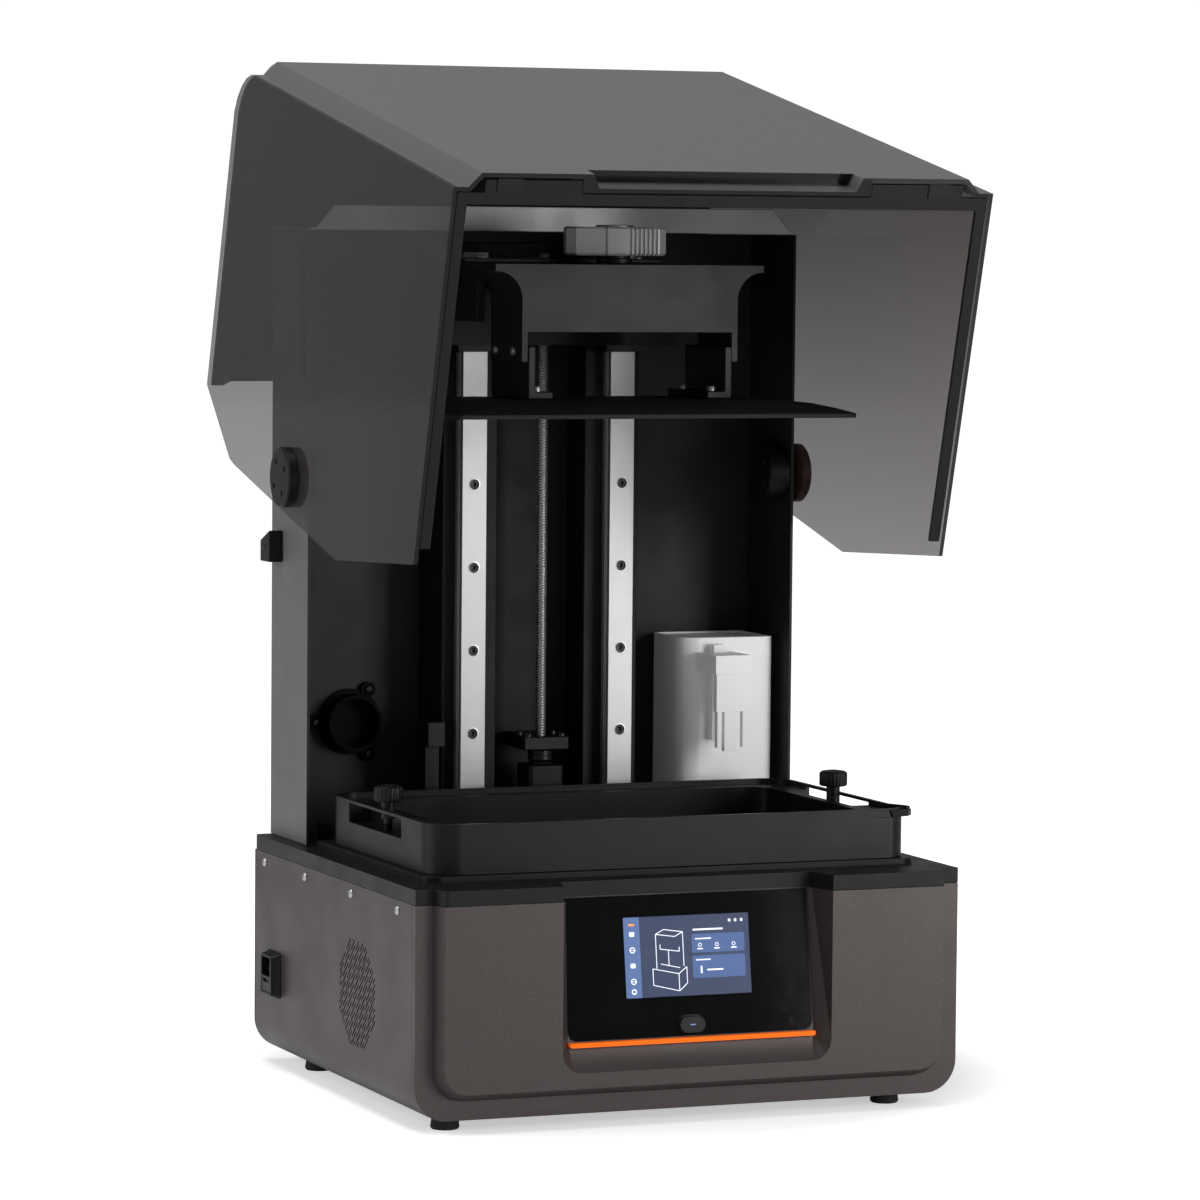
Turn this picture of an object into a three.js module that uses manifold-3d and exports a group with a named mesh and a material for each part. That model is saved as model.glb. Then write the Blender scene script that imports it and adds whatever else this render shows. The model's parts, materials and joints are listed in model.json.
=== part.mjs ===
// Resin printer with a flip-up lid, built as a bench assembly of separate pieces.
//
// Working frame of the constants: millimetres, X to the right, Y from the front border of the
// base to the rear, Z up from the underside of the base. The exported group is shifted so that
// its origin is the bottom centre of the whole printer with its lid open.

import * as THREE from 'three';
import { mergeVertices } from 'three/addons/utils/BufferGeometryUtils.js';
import Module from 'manifold-3d';

const wasm = await Module();
wasm.setup();

// ---------------------------------------------------------------- driving dimensions

const GAP = 0.3; // clearance between pieces that touch
const OPEN_ANGLE = 74.2; // degrees the open lid has turned back from closed

const BASE = { half: 200, depth: 338, top: 145.6, corner: 23, sheet: 2, footHeight: 8.5 };
const FRONT = { plate: 6, boss: 13, bossHalf: 183, bossRoot: 187.5, bossLow: 19, bossRootLow: 13 };
const SCREEN = { half: 90.5, low: 48.8, lowY: -4, slope: 0.155, mouthHalf: 99, mouthLow: 29.5 };
const DECK = { low: 145.9, top: 156.4, stepHalf: 182.5, stepFront: 29, stepRear: 255, stepTop: 160.5 };
const MASK = { half: 155.7, front: 55, rear: 227, thick: 2.8 };
const VAT = { half: 177, front: 33, rear: 247, low: 160.8, top: 195, corner: 22, wall: 3, ledge: 4 };
const GRIP = { front: 92, rear: 199, low: 179.5, top: 193, inner: 161 };
const BASIN = { half: 154, front: 50, rear: 230, floor: 164.3 };
const THUMB = { x: 168.9, y: 140.5, head: 10, top: 211, stem: 3 };
const COLUMN = { half: 188.25, front: 258.3, rear: 338, low: 156.7, top: 592.7, sheet: 2 };
const HOOD = { low: 593, top: 611, lowHalf: 184.9, topHalf: 169.5 };
const RAIL = { x: 57.3, half: 9.3, front: 271.5, rear: 286.2, low: 157, top: 578, pitch: 60 };
const FRAME = { half: 76, front: 286.5, rear: 335.7, groove: 34, grooveRear: 322, top: 585 };
const SCREW = { y: 284, radius: 4, low: 209.6, top: 578 };
const ARM = { outer: 91.6, front: 179.3, rear: 249.7, low: 530, top: 571 };
const NOSE = {
  front: 119, rear: 123, back: 179, half: 81, flareHalf: 100.8, low: 503.5, beamLow: 524, top: 570.8,
  lip: 5, thick: 6, boltY: [135, 169], boltZ: 510.5,
};
const PLATE = { half: 149, front: 62, rear: 224, low: 466, edge: 3, crown: 11.5 };
const HANGER = { half: 76.4, foot: 58, thick: 5.3, front: 118, rear: 190, top: 514 };
const KNOB = { y: 150, low: 577, top: 597, lobe: 35.5, collar: 12.5, shaft: 5 };
const TANK = { left: 107.4, right: 180.3, front: 274, rear: 334, low: 156.7, top: 297, corner: 15, rim: 3 };
const DUCT = { x: -129.5, z: 236.5, outer: 20.5, inner: 18, front: 319, earRadius: 27 };
const INLET = { front: 278, rear: 306, low: 44, top: 77, proud: 7 };
const HINGE = { y: 279, z: 417.5, disc: 21.5, hub: 20.5, pin: 6, outer: 203, inner: 170 };
const LID = { half: 192, sideOut: 195.2, sheet: 3, rise: 9.5, stepOuter: 184.7, stepInner: 175.7 };
const NOTCH = { half: 101, narrow: 93, height: 16 };
const FAN = { x: -105, z: 78, half: 40, bore: 38, front: 309, rear: 334 };

// ---------------------------------------------------------------- materials

const paint = (color, roughness, metalness = 0, extra = {}) =>
  new THREE.MeshStandardMaterial({ color, roughness, metalness, ...extra });

const MATERIALS = {
  housing: paint(0x6a6260, 0.45, 0.3),
  frontPanel: paint(0x625a58, 0.45, 0.3),
  blackSheet: paint(0x2a2a2b, 0.5, 0.2),
  greySheet: paint(0x5e5e60, 0.5, 0.3),
  castBlack: paint(0x343436, 0.45, 0.4),
  glass: paint(0x0c0c0e, 0.08),
  display: paint(0x1f2a48, 0.3),
  orange: paint(0xff6a00, 0.4),
  button: paint(0x3c3c3e, 0.5),
  plastic: paint(0x222224, 0.55),
  rubber: paint(0x161616, 0.8),
  steel: paint(0xd0d0d0, 0.3, 0.9),
  plate: paint(0x3e3e40, 0.5, 0.5),
  white: paint(0xe2e2e2, 0.4),
  film: paint(0xb8c4cc, 0.15, 0, { transparent: true, opacity: 0.4 }),
  lid: paint(0x6b696c, 0.25, 0, { transparent: true, opacity: 0.85 }),
  lidSide: paint(0x4b4548, 0.15, 0, { transparent: true, opacity: 0.6 }),
  board: paint(0x1f5a36, 0.6),
  aluminium: paint(0xa8aaac, 0.4, 0.8),
};

// ---------------------------------------------------------------- solids

function toSolid(shape) {
  if (!(shape instanceof THREE.BufferGeometry)) {
    return shape;
  }
  const plain = shape.clone();
  plain.deleteAttribute('normal');
  plain.deleteAttribute('uv');
  const merged = mergeVertices(plain, 1e-4);
  const mesh = new wasm.Mesh({
    numProp: 3,
    vertProperties: new Float32Array(merged.attributes.position.array),
    triVerts: new Uint32Array(merged.index.array),
  });
  return new wasm.Manifold(mesh);
}

function toGeometry(shape) {
  if (shape instanceof THREE.BufferGeometry) {
    return shape;
  }
  const mesh = shape.getMesh();
  const geometry = new THREE.BufferGeometry();
  geometry.setAttribute('position', new THREE.BufferAttribute(new Float32Array(mesh.vertProperties), 3));
  geometry.setIndex(new THREE.BufferAttribute(new Uint32Array(mesh.triVerts), 1));
  geometry.computeVertexNormals();
  return geometry;
}

const join = (first, ...rest) => rest.reduce((whole, piece) => whole.add(toSolid(piece)), toSolid(first));
const cut = (first, ...rest) => rest.reduce((whole, piece) => whole.subtract(toSolid(piece)), toSolid(first));

function box(x0, x1, y0, y1, z0, z1) {
  const geometry = new THREE.BoxGeometry(x1 - x0, y1 - y0, z1 - z0);
  return geometry.translate((x0 + x1) / 2, (y0 + y1) / 2, (z0 + z1) / 2);
}

// An outline pushed along an axis. Its two coordinates are YZ, XZ or XY for X, Y or Z.
function prism(axis, outline, from, to, curveSegments = 6) {
  const shape = Array.isArray(outline)
    ? new THREE.Shape(outline.map(([u, v]) => new THREE.Vector2(u, v))) : outline;
  const geometry = new THREE.ExtrudeGeometry(shape, { depth: to - from, bevelEnabled: false, curveSegments });
  if (axis === 'Z') {
    return geometry.translate(0, 0, from);
  }
  if (axis === 'Y') {
    return geometry.rotateX(Math.PI / 2).translate(0, to, 0);
  }
  const turn = new THREE.Matrix4().makeBasis(
    new THREE.Vector3(0, 1, 0), new THREE.Vector3(0, 0, 1), new THREE.Vector3(1, 0, 0));
  return geometry.applyMatrix4(turn).translate(from, 0, 0);
}

function cylinder(axis, radius, u, v, from, to, sides = 32, endRadius = radius) {
  const geometry = new THREE.CylinderGeometry(endRadius, radius, to - from, sides);
  const middle = (from + to) / 2;
  if (axis === 'Z') {
    return geometry.rotateX(Math.PI / 2).translate(u, v, middle);
  }
  if (axis === 'Y') {
    return geometry.translate(u, middle, v);
  }
  return geometry.rotateZ(-Math.PI / 2).translate(middle, u, v);
}

// Round profile of [radius, height] points, turned about a vertical axis.
function turned(profile, x, y, sides = 32) {
  const points = profile.map(([radius, height]) => new THREE.Vector2(radius, height));
  return new THREE.LatheGeometry(points, sides).rotateX(Math.PI / 2).translate(x, y, 0);
}

// Rectangle with a radius for each corner, from the low corner anticlockwise.
function roundedRect(u0, u1, v0, v1, radii) {
  const [a, b, c, d] = Array.isArray(radii) ? radii : [radii, radii, radii, radii];
  const shape = new THREE.Shape();
  shape.moveTo(u0 + a, v0);
  shape.lineTo(u1 - b, v0);
  shape.absarc(u1 - b, v0 + b, b, -Math.PI / 2, 0);
  shape.lineTo(u1, v1 - c);
  shape.absarc(u1 - c, v1 - c, c, 0, Math.PI / 2);
  shape.lineTo(u0 + d, v1);
  shape.absarc(u0 + d, v1 - d, d, Math.PI / 2, Math.PI);
  shape.lineTo(u0, v0 + a);
  shape.absarc(u0 + a, v0 + a, a, Math.PI, Math.PI * 1.5);
  return shape;
}

// The same rectangle as a list of points, always with the same count, for skinned solids.
function ringRect(u0, u1, v0, v1, radii, steps = 4) {
  const [a, b, c, d] = Array.isArray(radii) ? radii : [radii, radii, radii, radii];
  const corners = [
    [u0 + a, v0 + a, a, 180], [u1 - b, v0 + b, b, 270], [u1 - c, v1 - c, c, 0], [u0 + d, v1 - d, d, 90]];
  const points = [];
  for (const [u, v, radius, start] of corners) {
    for (let step = 0; step <= steps; step += 1) {
      const angle = THREE.MathUtils.degToRad(start + (90 * step) / steps);
      const r = Math.max(radius, 0.05);
      points.push([u + (radius ? r : 0.05) * Math.cos(angle), v + (radius ? r : 0.05) * Math.sin(angle)]);
    }
  }
  return points;
}

// Closed solid through rings of equal count; flat(point) gives the caps' plane coordinates.
function skin(given, flat) {
  const backwards = THREE.ShapeUtils.isClockWise(given[0].map(flat));
  const rings = backwards ? given.map((ring) => [...ring].reverse()) : given;
  const count = rings[0].length;
  const positions = rings.flat().flatMap((point) => [point.x, point.y, point.z]);
  const faces = [];
  for (let ring = 0; ring + 1 < rings.length; ring += 1) {
    for (let k = 0; k < count; k += 1) {
      const next = (k + 1) % count;
      const a = ring * count + k;
      const b = ring * count + next;
      faces.push(a, b, b + count, a, b + count, a + count);
    }
  }
  const caps = THREE.ShapeUtils.triangulateShape(rings[0].map(flat), []);
  const last = (rings.length - 1) * count;
  for (const [a, b, c] of caps) {
    faces.push(c, b, a, last + a, last + b, last + c);
  }
  const geometry = new THREE.BufferGeometry();
  geometry.setAttribute('position', new THREE.Float32BufferAttribute(positions, 3));
  geometry.setIndex(faces);
  return signedVolume(geometry) < 0 ? flipped(geometry) : geometry;
}

function signedVolume(geometry) {
  const corner = [0, 1, 2].map(() => new THREE.Vector3());
  let volume = 0;
  for (let k = 0; k < geometry.index.count; k += 3) {
    corner.forEach((point, n) => {
      point.fromBufferAttribute(geometry.attributes.position, geometry.index.getX(k + n));
    });
    volume += corner[0].dot(corner[1].clone().cross(corner[2])) / 6;
  }
  return volume;
}

function flipped(geometry) {
  const order = Array.from(geometry.index.array);
  for (let k = 0; k < order.length; k += 3) {
    [order[k], order[k + 1]] = [order[k + 1], order[k]];
  }
  return geometry.setIndex(order);
}

const flatXY = (point) => new THREE.Vector2(point.x, point.y);
const flatXZ = (point) => new THREE.Vector2(point.x, point.z);

const mirrorX = (shape) => toSolid(shape).mirror([1, 0, 0]);

// ---------------------------------------------------------------- assembly

const printer = new THREE.Group();
const lid = new THREE.Group();

function add(name, shape, material, parent = printer) {
  const mesh = new THREE.Mesh(toGeometry(shape), MATERIALS[material].clone());
  mesh.name = name;
  parent.add(mesh);
}

// Adds NAME_left as drawn on the left side, and its mirror image as NAME_right.
function addPair(name, shape, material, parent = printer) {
  add(`${name}_left`, shape, material, parent);
  add(`${name}_right`, mirrorX(shape), material, parent);
}

// ---------------------------------------------------------------- base

// Slanted punched slots that fill an octagon on a side wall.
function ventSlots(centreY, centreZ, wallLow, wallHigh) {
  const halfSpan = 35;
  const slotLength = 14;
  const rowPitch = 7.2;
  const slant = THREE.MathUtils.degToRad(-40);
  const slots = [];
  for (let row = -5; row <= 5; row += 1) {
    for (let column = -3; column <= 3; column += 1) {
      const along = column * (slotLength + 4) + (row % 2 ? (slotLength + 4) / 2 : 0);
      const across = row * rowPitch;
      const y = along * Math.cos(slant) - across * Math.sin(slant);
      const z = along * Math.sin(slant) + across * Math.cos(slant);
      if (Math.max(Math.abs(y), Math.abs(z), (Math.abs(y) + Math.abs(z)) * 0.72) > halfSpan - 5) {
        continue;
      }
      const slot = new THREE.BoxGeometry(wallHigh - wallLow, slotLength, 2.2);
      slots.push(slot.rotateX(slant).translate((wallLow + wallHigh) / 2, centreY + y, centreZ + z));
    }
  }
  return slots;
}

function addBase() {
  const { half, depth, top, corner, sheet } = BASE;
  const front = FRONT.plate + GAP;
  const rear = depth - sheet - GAP;
  const outer = prism('Y', roundedRect(-half, half, 0, top, [corner, corner, 0.1, 0.1]), front, rear);
  const inner = prism(
    'Y', roundedRect(-half + sheet, half - sheet, sheet, top + 20, [corner - sheet, corner - sheet, 1, 1]),
    front - 1, rear + 1);
  const inletHole = box(-half - 1, -half + sheet + 1, 281, 303, 47, 74);
  add('base_housing', cut(
    outer, inner, inletHole,
    ...ventSlots(115, 71, -half - 1, -half + sheet + 1),
    ...ventSlots(115, 71, half - sheet - 1, half + 1)), 'housing');

  const backOutline = roundedRect(-half, half, 0, top, [corner, corner, 0.1, 0.1]);
  const grille = [];
  for (let row = -4; row <= 4; row += 1) {
    const reach = Math.sqrt(FAN.bore ** 2 - (row * 8) ** 2) - 2;
    const slotZ = FAN.z + row * 8;
    grille.push(box(FAN.x - reach, FAN.x + reach, depth - 5, depth + 1, slotZ - 2.2, slotZ + 2.2));
  }
  const portHole = box(120, 140, depth - 5, depth + 1, 40, 50);
  const back = prism('Y', backOutline, depth - sheet, depth);
  add('base_back_panel', cut(back, ...grille, portHole), 'housing');

  const footProfile = [[0, -BASE.footHeight], [9, -BASE.footHeight], [10, -7], [9, -GAP], [0, -GAP]];
  const feet = {
    front_left: [-170, 22], front_right: [156, 22], rear_left: [-170, 281], rear_right: [156, 281] };
  for (const [place, [x, y]] of Object.entries(feet)) {
    add(`foot_${place}`, turned(footProfile, x, y, 24), 'rubber');
  }
}

const glassY = (z) => SCREEN.lowY + SCREEN.slope * (z - SCREEN.low);

// Rings across the front, one point list each, with Y given by a function of Z.
const frontRing = (outline, yOf) => outline.map(([x, z]) => new THREE.Vector3(x, yOf(z), z));

function screenMouth(behindGlass) {
  const { half, mouthHalf, mouthLow } = SCREEN;
  const open = ringRect(-mouthHalf, mouthHalf, mouthLow, 190, [14, 14, 0, 0]);
  const deep = ringRect(-half - GAP, half + GAP, 45.2, 190, [1.2, 1.2, 0, 0]);
  return skin([
    frontRing(open, () => -30), frontRing(open, () => -FRONT.boss),
    frontRing(deep, (z) => glassY(z) + behindGlass)], flatXZ);
}

function addFront() {
  const { plate, boss, bossHalf, bossRoot, bossLow, bossRootLow } = FRONT;
  const { half, top, corner } = BASE;
  const border = prism('Y', roundedRect(-half, half, 0, top, [corner, corner, 0.1, 0.1]), 0, plate);
  const raised = skin([
    frontRing(ringRect(-bossRoot, bossRoot, bossRootLow, top, [20, 20, 0, 0]), () => 1),
    frontRing(ringRect(-bossRoot, bossRoot, bossRootLow, top, [20, 20, 0, 0]), () => 0),
    frontRing(ringRect(-bossHalf - 1.6, bossHalf + 1.6, bossLow - 3, top, [18, 18, 0, 0]), () => -boss + 4),
    frontRing(ringRect(-bossHalf, bossHalf, bossLow, top, [16, 16, 0, 0]), () => -boss)], flatXZ);
  const hollow = box(-176, 176, -boss + 3, plate + 1, 26, top + 1);
  const tub = box(-103, 103, -boss + 1, 23, 24, top);
  const tubHollow = box(-60, 60, 16, 24, 60, top - 20);
  const shell = join(cut(join(border, raised), hollow), tub);
  const displayPocket = box(-49.5, 49.5, -6, 16.5, 71.5, 134.5);
  const buttonBore = cylinder('Y', 5, 0, 57.1, -10, 24, 24);
  add('front_panel', cut(shell, screenMouth(3.3), tubHollow, displayPocket, buttonBore), 'frontPanel');

  const face = ringRect(-SCREEN.half, SCREEN.half, SCREEN.low, top - 0.4, [6, 6, 0, 0]);
  const glass = skin([frontRing(face, glassY), frontRing(face, (z) => glassY(z) + 3)], flatXZ);
  const buttonHole = prism('Y', roundedRect(-9.9, 9.9, 51, 63.2, 6.05), -10, 10, 8);
  add('screen_glass', cut(glass, buttonHole), 'glass');

  const display = ringRect(-49, 49, 72, 134, 0);
  add('display_module', skin([
    frontRing(display, (z) => glassY(z) + 3.3), frontRing(display, (z) => glassY(z) + 6.3)],
  flatXZ), 'display');

  const key = ringRect(-9.5, 9.5, 51.4, 62.8, 5.7, 6);
  const keyCap = skin([
    frontRing(key, (z) => glassY(z) - 0.6), frontRing(key, (z) => glassY(z) + 2.2)], flatXZ);
  add('power_button', join(keyCap, cylinder('Y', 4, 0, 57.1, -1.5, 12, 20)), 'button');

  const strip = ringRect(-SCREEN.half, SCREEN.half, 45.5, 48.5, [1.4, 1.4, 0, 0]);
  add('accent_strip', skin([
    frontRing(strip, () => SCREEN.lowY - 1.6), frontRing(strip, (z) => glassY(z) + 3)], flatXZ), 'orange');
}

function addDeck() {
  const { half, depth } = BASE;
  const { boss, bossHalf, bossRoot } = FRONT;
  const notchY = glassY(DECK.low) + 0.6;
  const outline = [
    [-half, 0], [-bossRoot, 0], [-bossHalf - 0.8, -boss + 2], [-bossHalf + 1.5, -boss],
    [-SCREEN.mouthHalf, -boss], [-SCREEN.half - 1, notchY], [SCREEN.half + 1, notchY],
    [SCREEN.mouthHalf, -boss], [bossHalf - 1.5, -boss], [bossHalf + 0.8, -boss + 2], [bossRoot, 0],
    [half, 0], [half, depth - 3],
    [half - 3, depth], [-half + 3, depth], [-half, depth - 3]];
  const slab = prism('Z', outline, DECK.low, DECK.top);
  const step = prism(
    'Z', roundedRect(-DECK.stepHalf, DECK.stepHalf, DECK.stepFront, DECK.stepRear, [12, 12, 1, 1]),
    DECK.top - 1, DECK.stepTop);
  const under = box(-half + 6, half - 6, 24, depth - 6, DECK.low - 1, DECK.top - 3);
  const seat = box(
    -MASK.half - GAP, MASK.half + GAP, MASK.front - GAP, MASK.rear + GAP,
    DECK.stepTop - MASK.thick - GAP, 170);
  const lightOpening = box(-150, 150, 60, 222, DECK.low - 1, 170);
  const threads = [-1, 1].map(
    (side) => cylinder('Z', THUMB.stem + 0.3, side * THUMB.x, THUMB.y, 140, 170, 24));
  add('deck_plate', cut(join(slab, step), under, seat, lightOpening, ...threads), 'castBlack');
  add('mask_screen', box(
    -MASK.half, MASK.half, MASK.front, MASK.rear, DECK.stepTop - MASK.thick, DECK.stepTop - GAP), 'glass');
}

function addInlet() {
  const { front, rear, low, top, proud } = INLET;
  const wall = -BASE.half;
  const faceRing = (inset) => ringRect(front + inset, rear - inset, low + inset, top - inset, 3, 3);
  const at = (outline, x) => outline.map(([y, z]) => new THREE.Vector3(x, y, z));
  const bezel = skin([
    at(faceRing(0), wall - GAP), at(faceRing(1.5), wall - 4), at(faceRing(2.2), wall - proud)],
  (point) => new THREE.Vector2(point.y, point.z));
  const body = box(wall - 1, wall + 28, 281.3, 302.7, 47.3, 73.7);
  const socket = box(wall - proud - 1, wall + 9, 283, 301, 59.5, 73);
  const drawerBay = box(wall - proud - 1, wall + 20, 283, 301, 47.9, 57.6);
  const pins = [[287, 64], [292, 68.5], [297, 64]].map(
    ([y, z]) => box(wall - 3, wall + 10, y - 1, y + 1, z - 2, z + 2));
  add('power_inlet', join(cut(join(bezel, body), socket, drawerBay), ...pins), 'plastic');
  const drawer = box(wall - proud + 0.2, wall + 18, 283.3, 300.7, 48.2, 57.3);
  const pull = box(wall - proud - 1, wall - proud + 1.6, 286, 298, 55.2, 60);
  add('fuse_drawer', cut(drawer, pull), 'plastic');
}

function addInternals() {
  const shroud = cut(
    box(-148, 148, 62, 220, 62, DECK.low - GAP), box(-145.5, 145.5, 64.5, 217.5, 64, DECK.low + 5));
  const lamps = [];
  for (let column = -4; column <= 4; column += 1) {
    for (let row = -2; row <= 2; row += 1) {
      lamps.push(cylinder('Z', 5, column * 28, 141 + row * 28, 63, 70, 6));
    }
  }
  add('uv_light_box', join(shroud, ...lamps), 'aluminium');
  const fins = [];
  for (let fin = -7; fin <= 7; fin += 1) {
    fins.push(box(fin * 15 - 1.2, fin * 15 + 1.2, 80, 200, 30, 57));
  }
  add('heat_sink', join(box(-110, 110, 78, 202, 56, 61.7), ...fins), 'aluminium');
  add('power_supply', join(box(30, 160, 228, 318, 6, 46), box(40, 150, 218, 229, 6, 24)), 'aluminium');
  const parts = [
    [-150, -130, 240, 262, 22], [-120, -96, 232, 256, 18], [-86, -60, 245, 280, 26],
    [-150, -110, 275, 290, 20]];
  const chips = parts.map(([x0, x1, y0, y1, z1]) => box(x0, x1, y0, y1, 11, z1));
  const corners = [[-155, 235], [-55, 235], [-155, 298], [-55, 298]];
  const posts = corners.map(([x, y]) => cylinder('Z', 3, x, y, 2.3, 11, 12));
  add('control_board', join(box(-160, -50, 230, 303, 10, 12), ...chips, ...posts), 'board');

  const { x, z, half, bore, front, rear } = FAN;
  const frame = cut(
    box(x - half, x + half, front, rear, z - half, z + half),
    cylinder('Y', bore, x, z, front - 1, rear + 1, 40));
  const struts = [0, 90].map((angle) => {
    const strut = new THREE.BoxGeometry(2 * bore + 2, 2, 4).rotateY(THREE.MathUtils.degToRad(angle + 45));
    return strut.translate(x, rear - 1, z);
  });
  const mount = cylinder('Y', 15, x, z, rear - 2, rear, 24);
  add('cooling_fan_frame', join(frame, ...struts, mount), 'plastic');
  const blades = [];
  for (let k = 0; k < 7; k += 1) {
    const blade = new THREE.BoxGeometry(22, 1.6, 16).rotateX(0.6).translate(24, 0, 0);
    blades.push(blade.rotateY((k * 2 * Math.PI) / 7).translate(x, front + 11, z));
  }
  add('cooling_fan_rotor', join(cylinder('Y', 15, x, z, front + 1, front + 21, 24), ...blades), 'plastic');
}

// ---------------------------------------------------------------- column and drive

function addColumn() {
  const { half, front, rear, low, top, sheet } = COLUMN;
  const channel = cut(
    box(-half, half, front, rear, low, top),
    box(-half + sheet, half - sheet, front - 1, rear - sheet, low - 1, top + 1));
  const pivots = cylinder('X', HINGE.pin + GAP, HINGE.y, HINGE.z, -half - 1, half + 1, 32);
  add('column_shell', cut(channel, pivots), 'greySheet');

  const roof = box(-half, half, front, rear, HOOD.low, HOOD.low + sheet);
  const brow = [
    [-HOOD.lowHalf, HOOD.low], [HOOD.lowHalf, HOOD.low], [HOOD.topHalf, HOOD.top], [-HOOD.topHalf, HOOD.top]];
  add('column_hood', join(roof, prism('Y', brow, front, front + sheet)), 'greySheet');

  const flange = half + GAP;
  const bumper = [[313, 355], [333, 355], [333, 370], [313, 378]];
  addPair('lid_guide_block', prism('X', bumper, -flange - 10.3, -flange), 'plastic');

  const ears = [60, 180, 300].map((degrees) => {
    const angle = THREE.MathUtils.degToRad(degrees);
    return [DUCT.x + DUCT.earRadius * Math.cos(angle), DUCT.z + DUCT.earRadius * Math.sin(angle)];
  });
  const wall = rear - sheet - GAP;
  const collar = join(
    cylinder('Y', DUCT.outer, DUCT.x, DUCT.z, DUCT.front, wall, 40),
    cylinder('Y', 24, DUCT.x, DUCT.z, wall - 3, wall, 40),
    ...ears.map(([x, z]) => cylinder('Y', 5.5, x, z, wall - 4, wall, 20)));
  const bores = ears.map(([x, z]) => cylinder('Y', 1.8, x, z, wall - 8, wall + 1, 12));
  const bore = cylinder('Y', DUCT.inner, DUCT.x, DUCT.z, DUCT.front - 1, wall + 1, 40);
  add('duct_port', cut(collar, bore, ...bores), 'plastic');
}

function addDrive() {
  const { half, front, rear, groove, grooveRear, top } = FRAME;
  const section = [
    [-half, front], [-groove, front], [-groove, grooveRear], [groove, grooveRear], [groove, front],
    [half, front], [half, rear], [-half, rear]];
  add('z_frame', prism('Z', section, COLUMN.low, top), 'blackSheet');

  const railBody = box(-RAIL.x - RAIL.half, -RAIL.x + RAIL.half, RAIL.front, RAIL.rear, RAIL.low, RAIL.top);
  const holes = [];
  for (let z = 171.5; z < RAIL.top; z += RAIL.pitch) {
    holes.push(cylinder('Y', 3.6, -RAIL.x, z, RAIL.front - 1, RAIL.front + 4, 16));
  }
  const grooves = [-1, 1].map((side) => {
    const edge = -RAIL.x + side * (RAIL.half + 1.5);
    return box(edge - 3, edge + 3, RAIL.front + 5, RAIL.front + 9, RAIL.low - 1, RAIL.top + 1);
  });
  addPair('z_rail', cut(railBody, ...holes, ...grooves), 'steel');

  const thread = [
    [0, SCREW.low], [9, SCREW.low], [9, 217.6], [SCREW.radius, 217.6], [SCREW.radius, SCREW.top - 1],
    [SCREW.radius - 1, SCREW.top], [0, SCREW.top]];
  add('lead_screw', turned(thread, 0, SCREW.y, 20), 'steel');
  const motorBody = prism('Z', roundedRect(-13.5, 13.5, SCREW.y - 13.5, SCREW.y + 13.5, 3), COLUMN.low, 207, 2);
  add('z_motor', join(motorBody, cylinder('Z', 9, 0, SCREW.y, 206, 209, 24)), 'castBlack');
  const bearing = join(
    box(-17.3, 17.3, SCREW.y - 13, SCREW.y + 13, 218, 227.5),
    box(-14, 14, SCREW.y + 12, grooveRear - GAP, 218, 227.5));
  add('screw_bearing', cut(bearing, cylinder('Z', SCREW.radius + GAP, 0, SCREW.y, 217, 228, 20)), 'castBlack');
  add('limit_switch', join(
    box(-90, -79, 282, 300, COLUMN.low, 224), box(-90, -half - GAP - 0.4, 276, 300, 222, 240)), 'plastic');
}

// ---------------------------------------------------------------- carriage and platform

function addCarriage() {
  const blockFront = 262;
  const block = cut(
    box(-RAIL.x - 17, -RAIL.x + 17, blockFront, FRAME.front - 2.5, 507, 567),
    box(-RAIL.x - RAIL.half - GAP, -RAIL.x + RAIL.half + GAP, RAIL.front - GAP, FRAME.front, 500, 570));
  addPair('carriage_block', block, 'castBlack');
  const tongue = box(-70, 70, NOSE.rear + 2, ARM.rear + 1, 553, NOSE.top - NOSE.thick - GAP);
  const back = box(-ARM.outer, ARM.outer, ARM.rear + GAP, blockFront - GAP, 512, ARM.top);
  add('carriage_plate', join(back, tongue), 'castBlack');
  add('lead_nut', cut(
    join(box(-14, 14, blockFront, SCREW.y, 545, 567), cylinder('Z', 14, 0, SCREW.y, 545, 567, 28)),
    cylinder('Z', SCREW.radius + GAP, 0, SCREW.y, 540, 570, 20)), 'white');

  addPair('arm', box(-ARM.outer, -ARM.outer + 6, ARM.front, ARM.rear, ARM.low, ARM.top), 'plate');
  add('arm_top_plate', box(-99, 50, 185, 215, ARM.top + GAP, ARM.top + 3.6), 'plate');
}

// Flared housing that carries the platform: a wide top lip, curved shoulders and two side legs.
function housingOutline() {
  const { half, flareHalf, low, top, lip } = NOSE;
  const lipLow = top - lip;
  const sweep = flareHalf - half - 0.5;
  const outline = new THREE.Shape();
  outline.moveTo(-half, low);
  outline.lineTo(half, low);
  outline.lineTo(half, lipLow - sweep);
  outline.absarc(half + sweep, lipLow - sweep, sweep, Math.PI, Math.PI / 2, true);
  outline.lineTo(flareHalf, lipLow);
  outline.lineTo(flareHalf, top);
  outline.lineTo(-flareHalf, top);
  outline.lineTo(-flareHalf, lipLow);
  outline.lineTo(-half - sweep, lipLow);
  outline.absarc(-half - sweep, lipLow - sweep, sweep, Math.PI / 2, 0, true);
  return outline;
}

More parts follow.
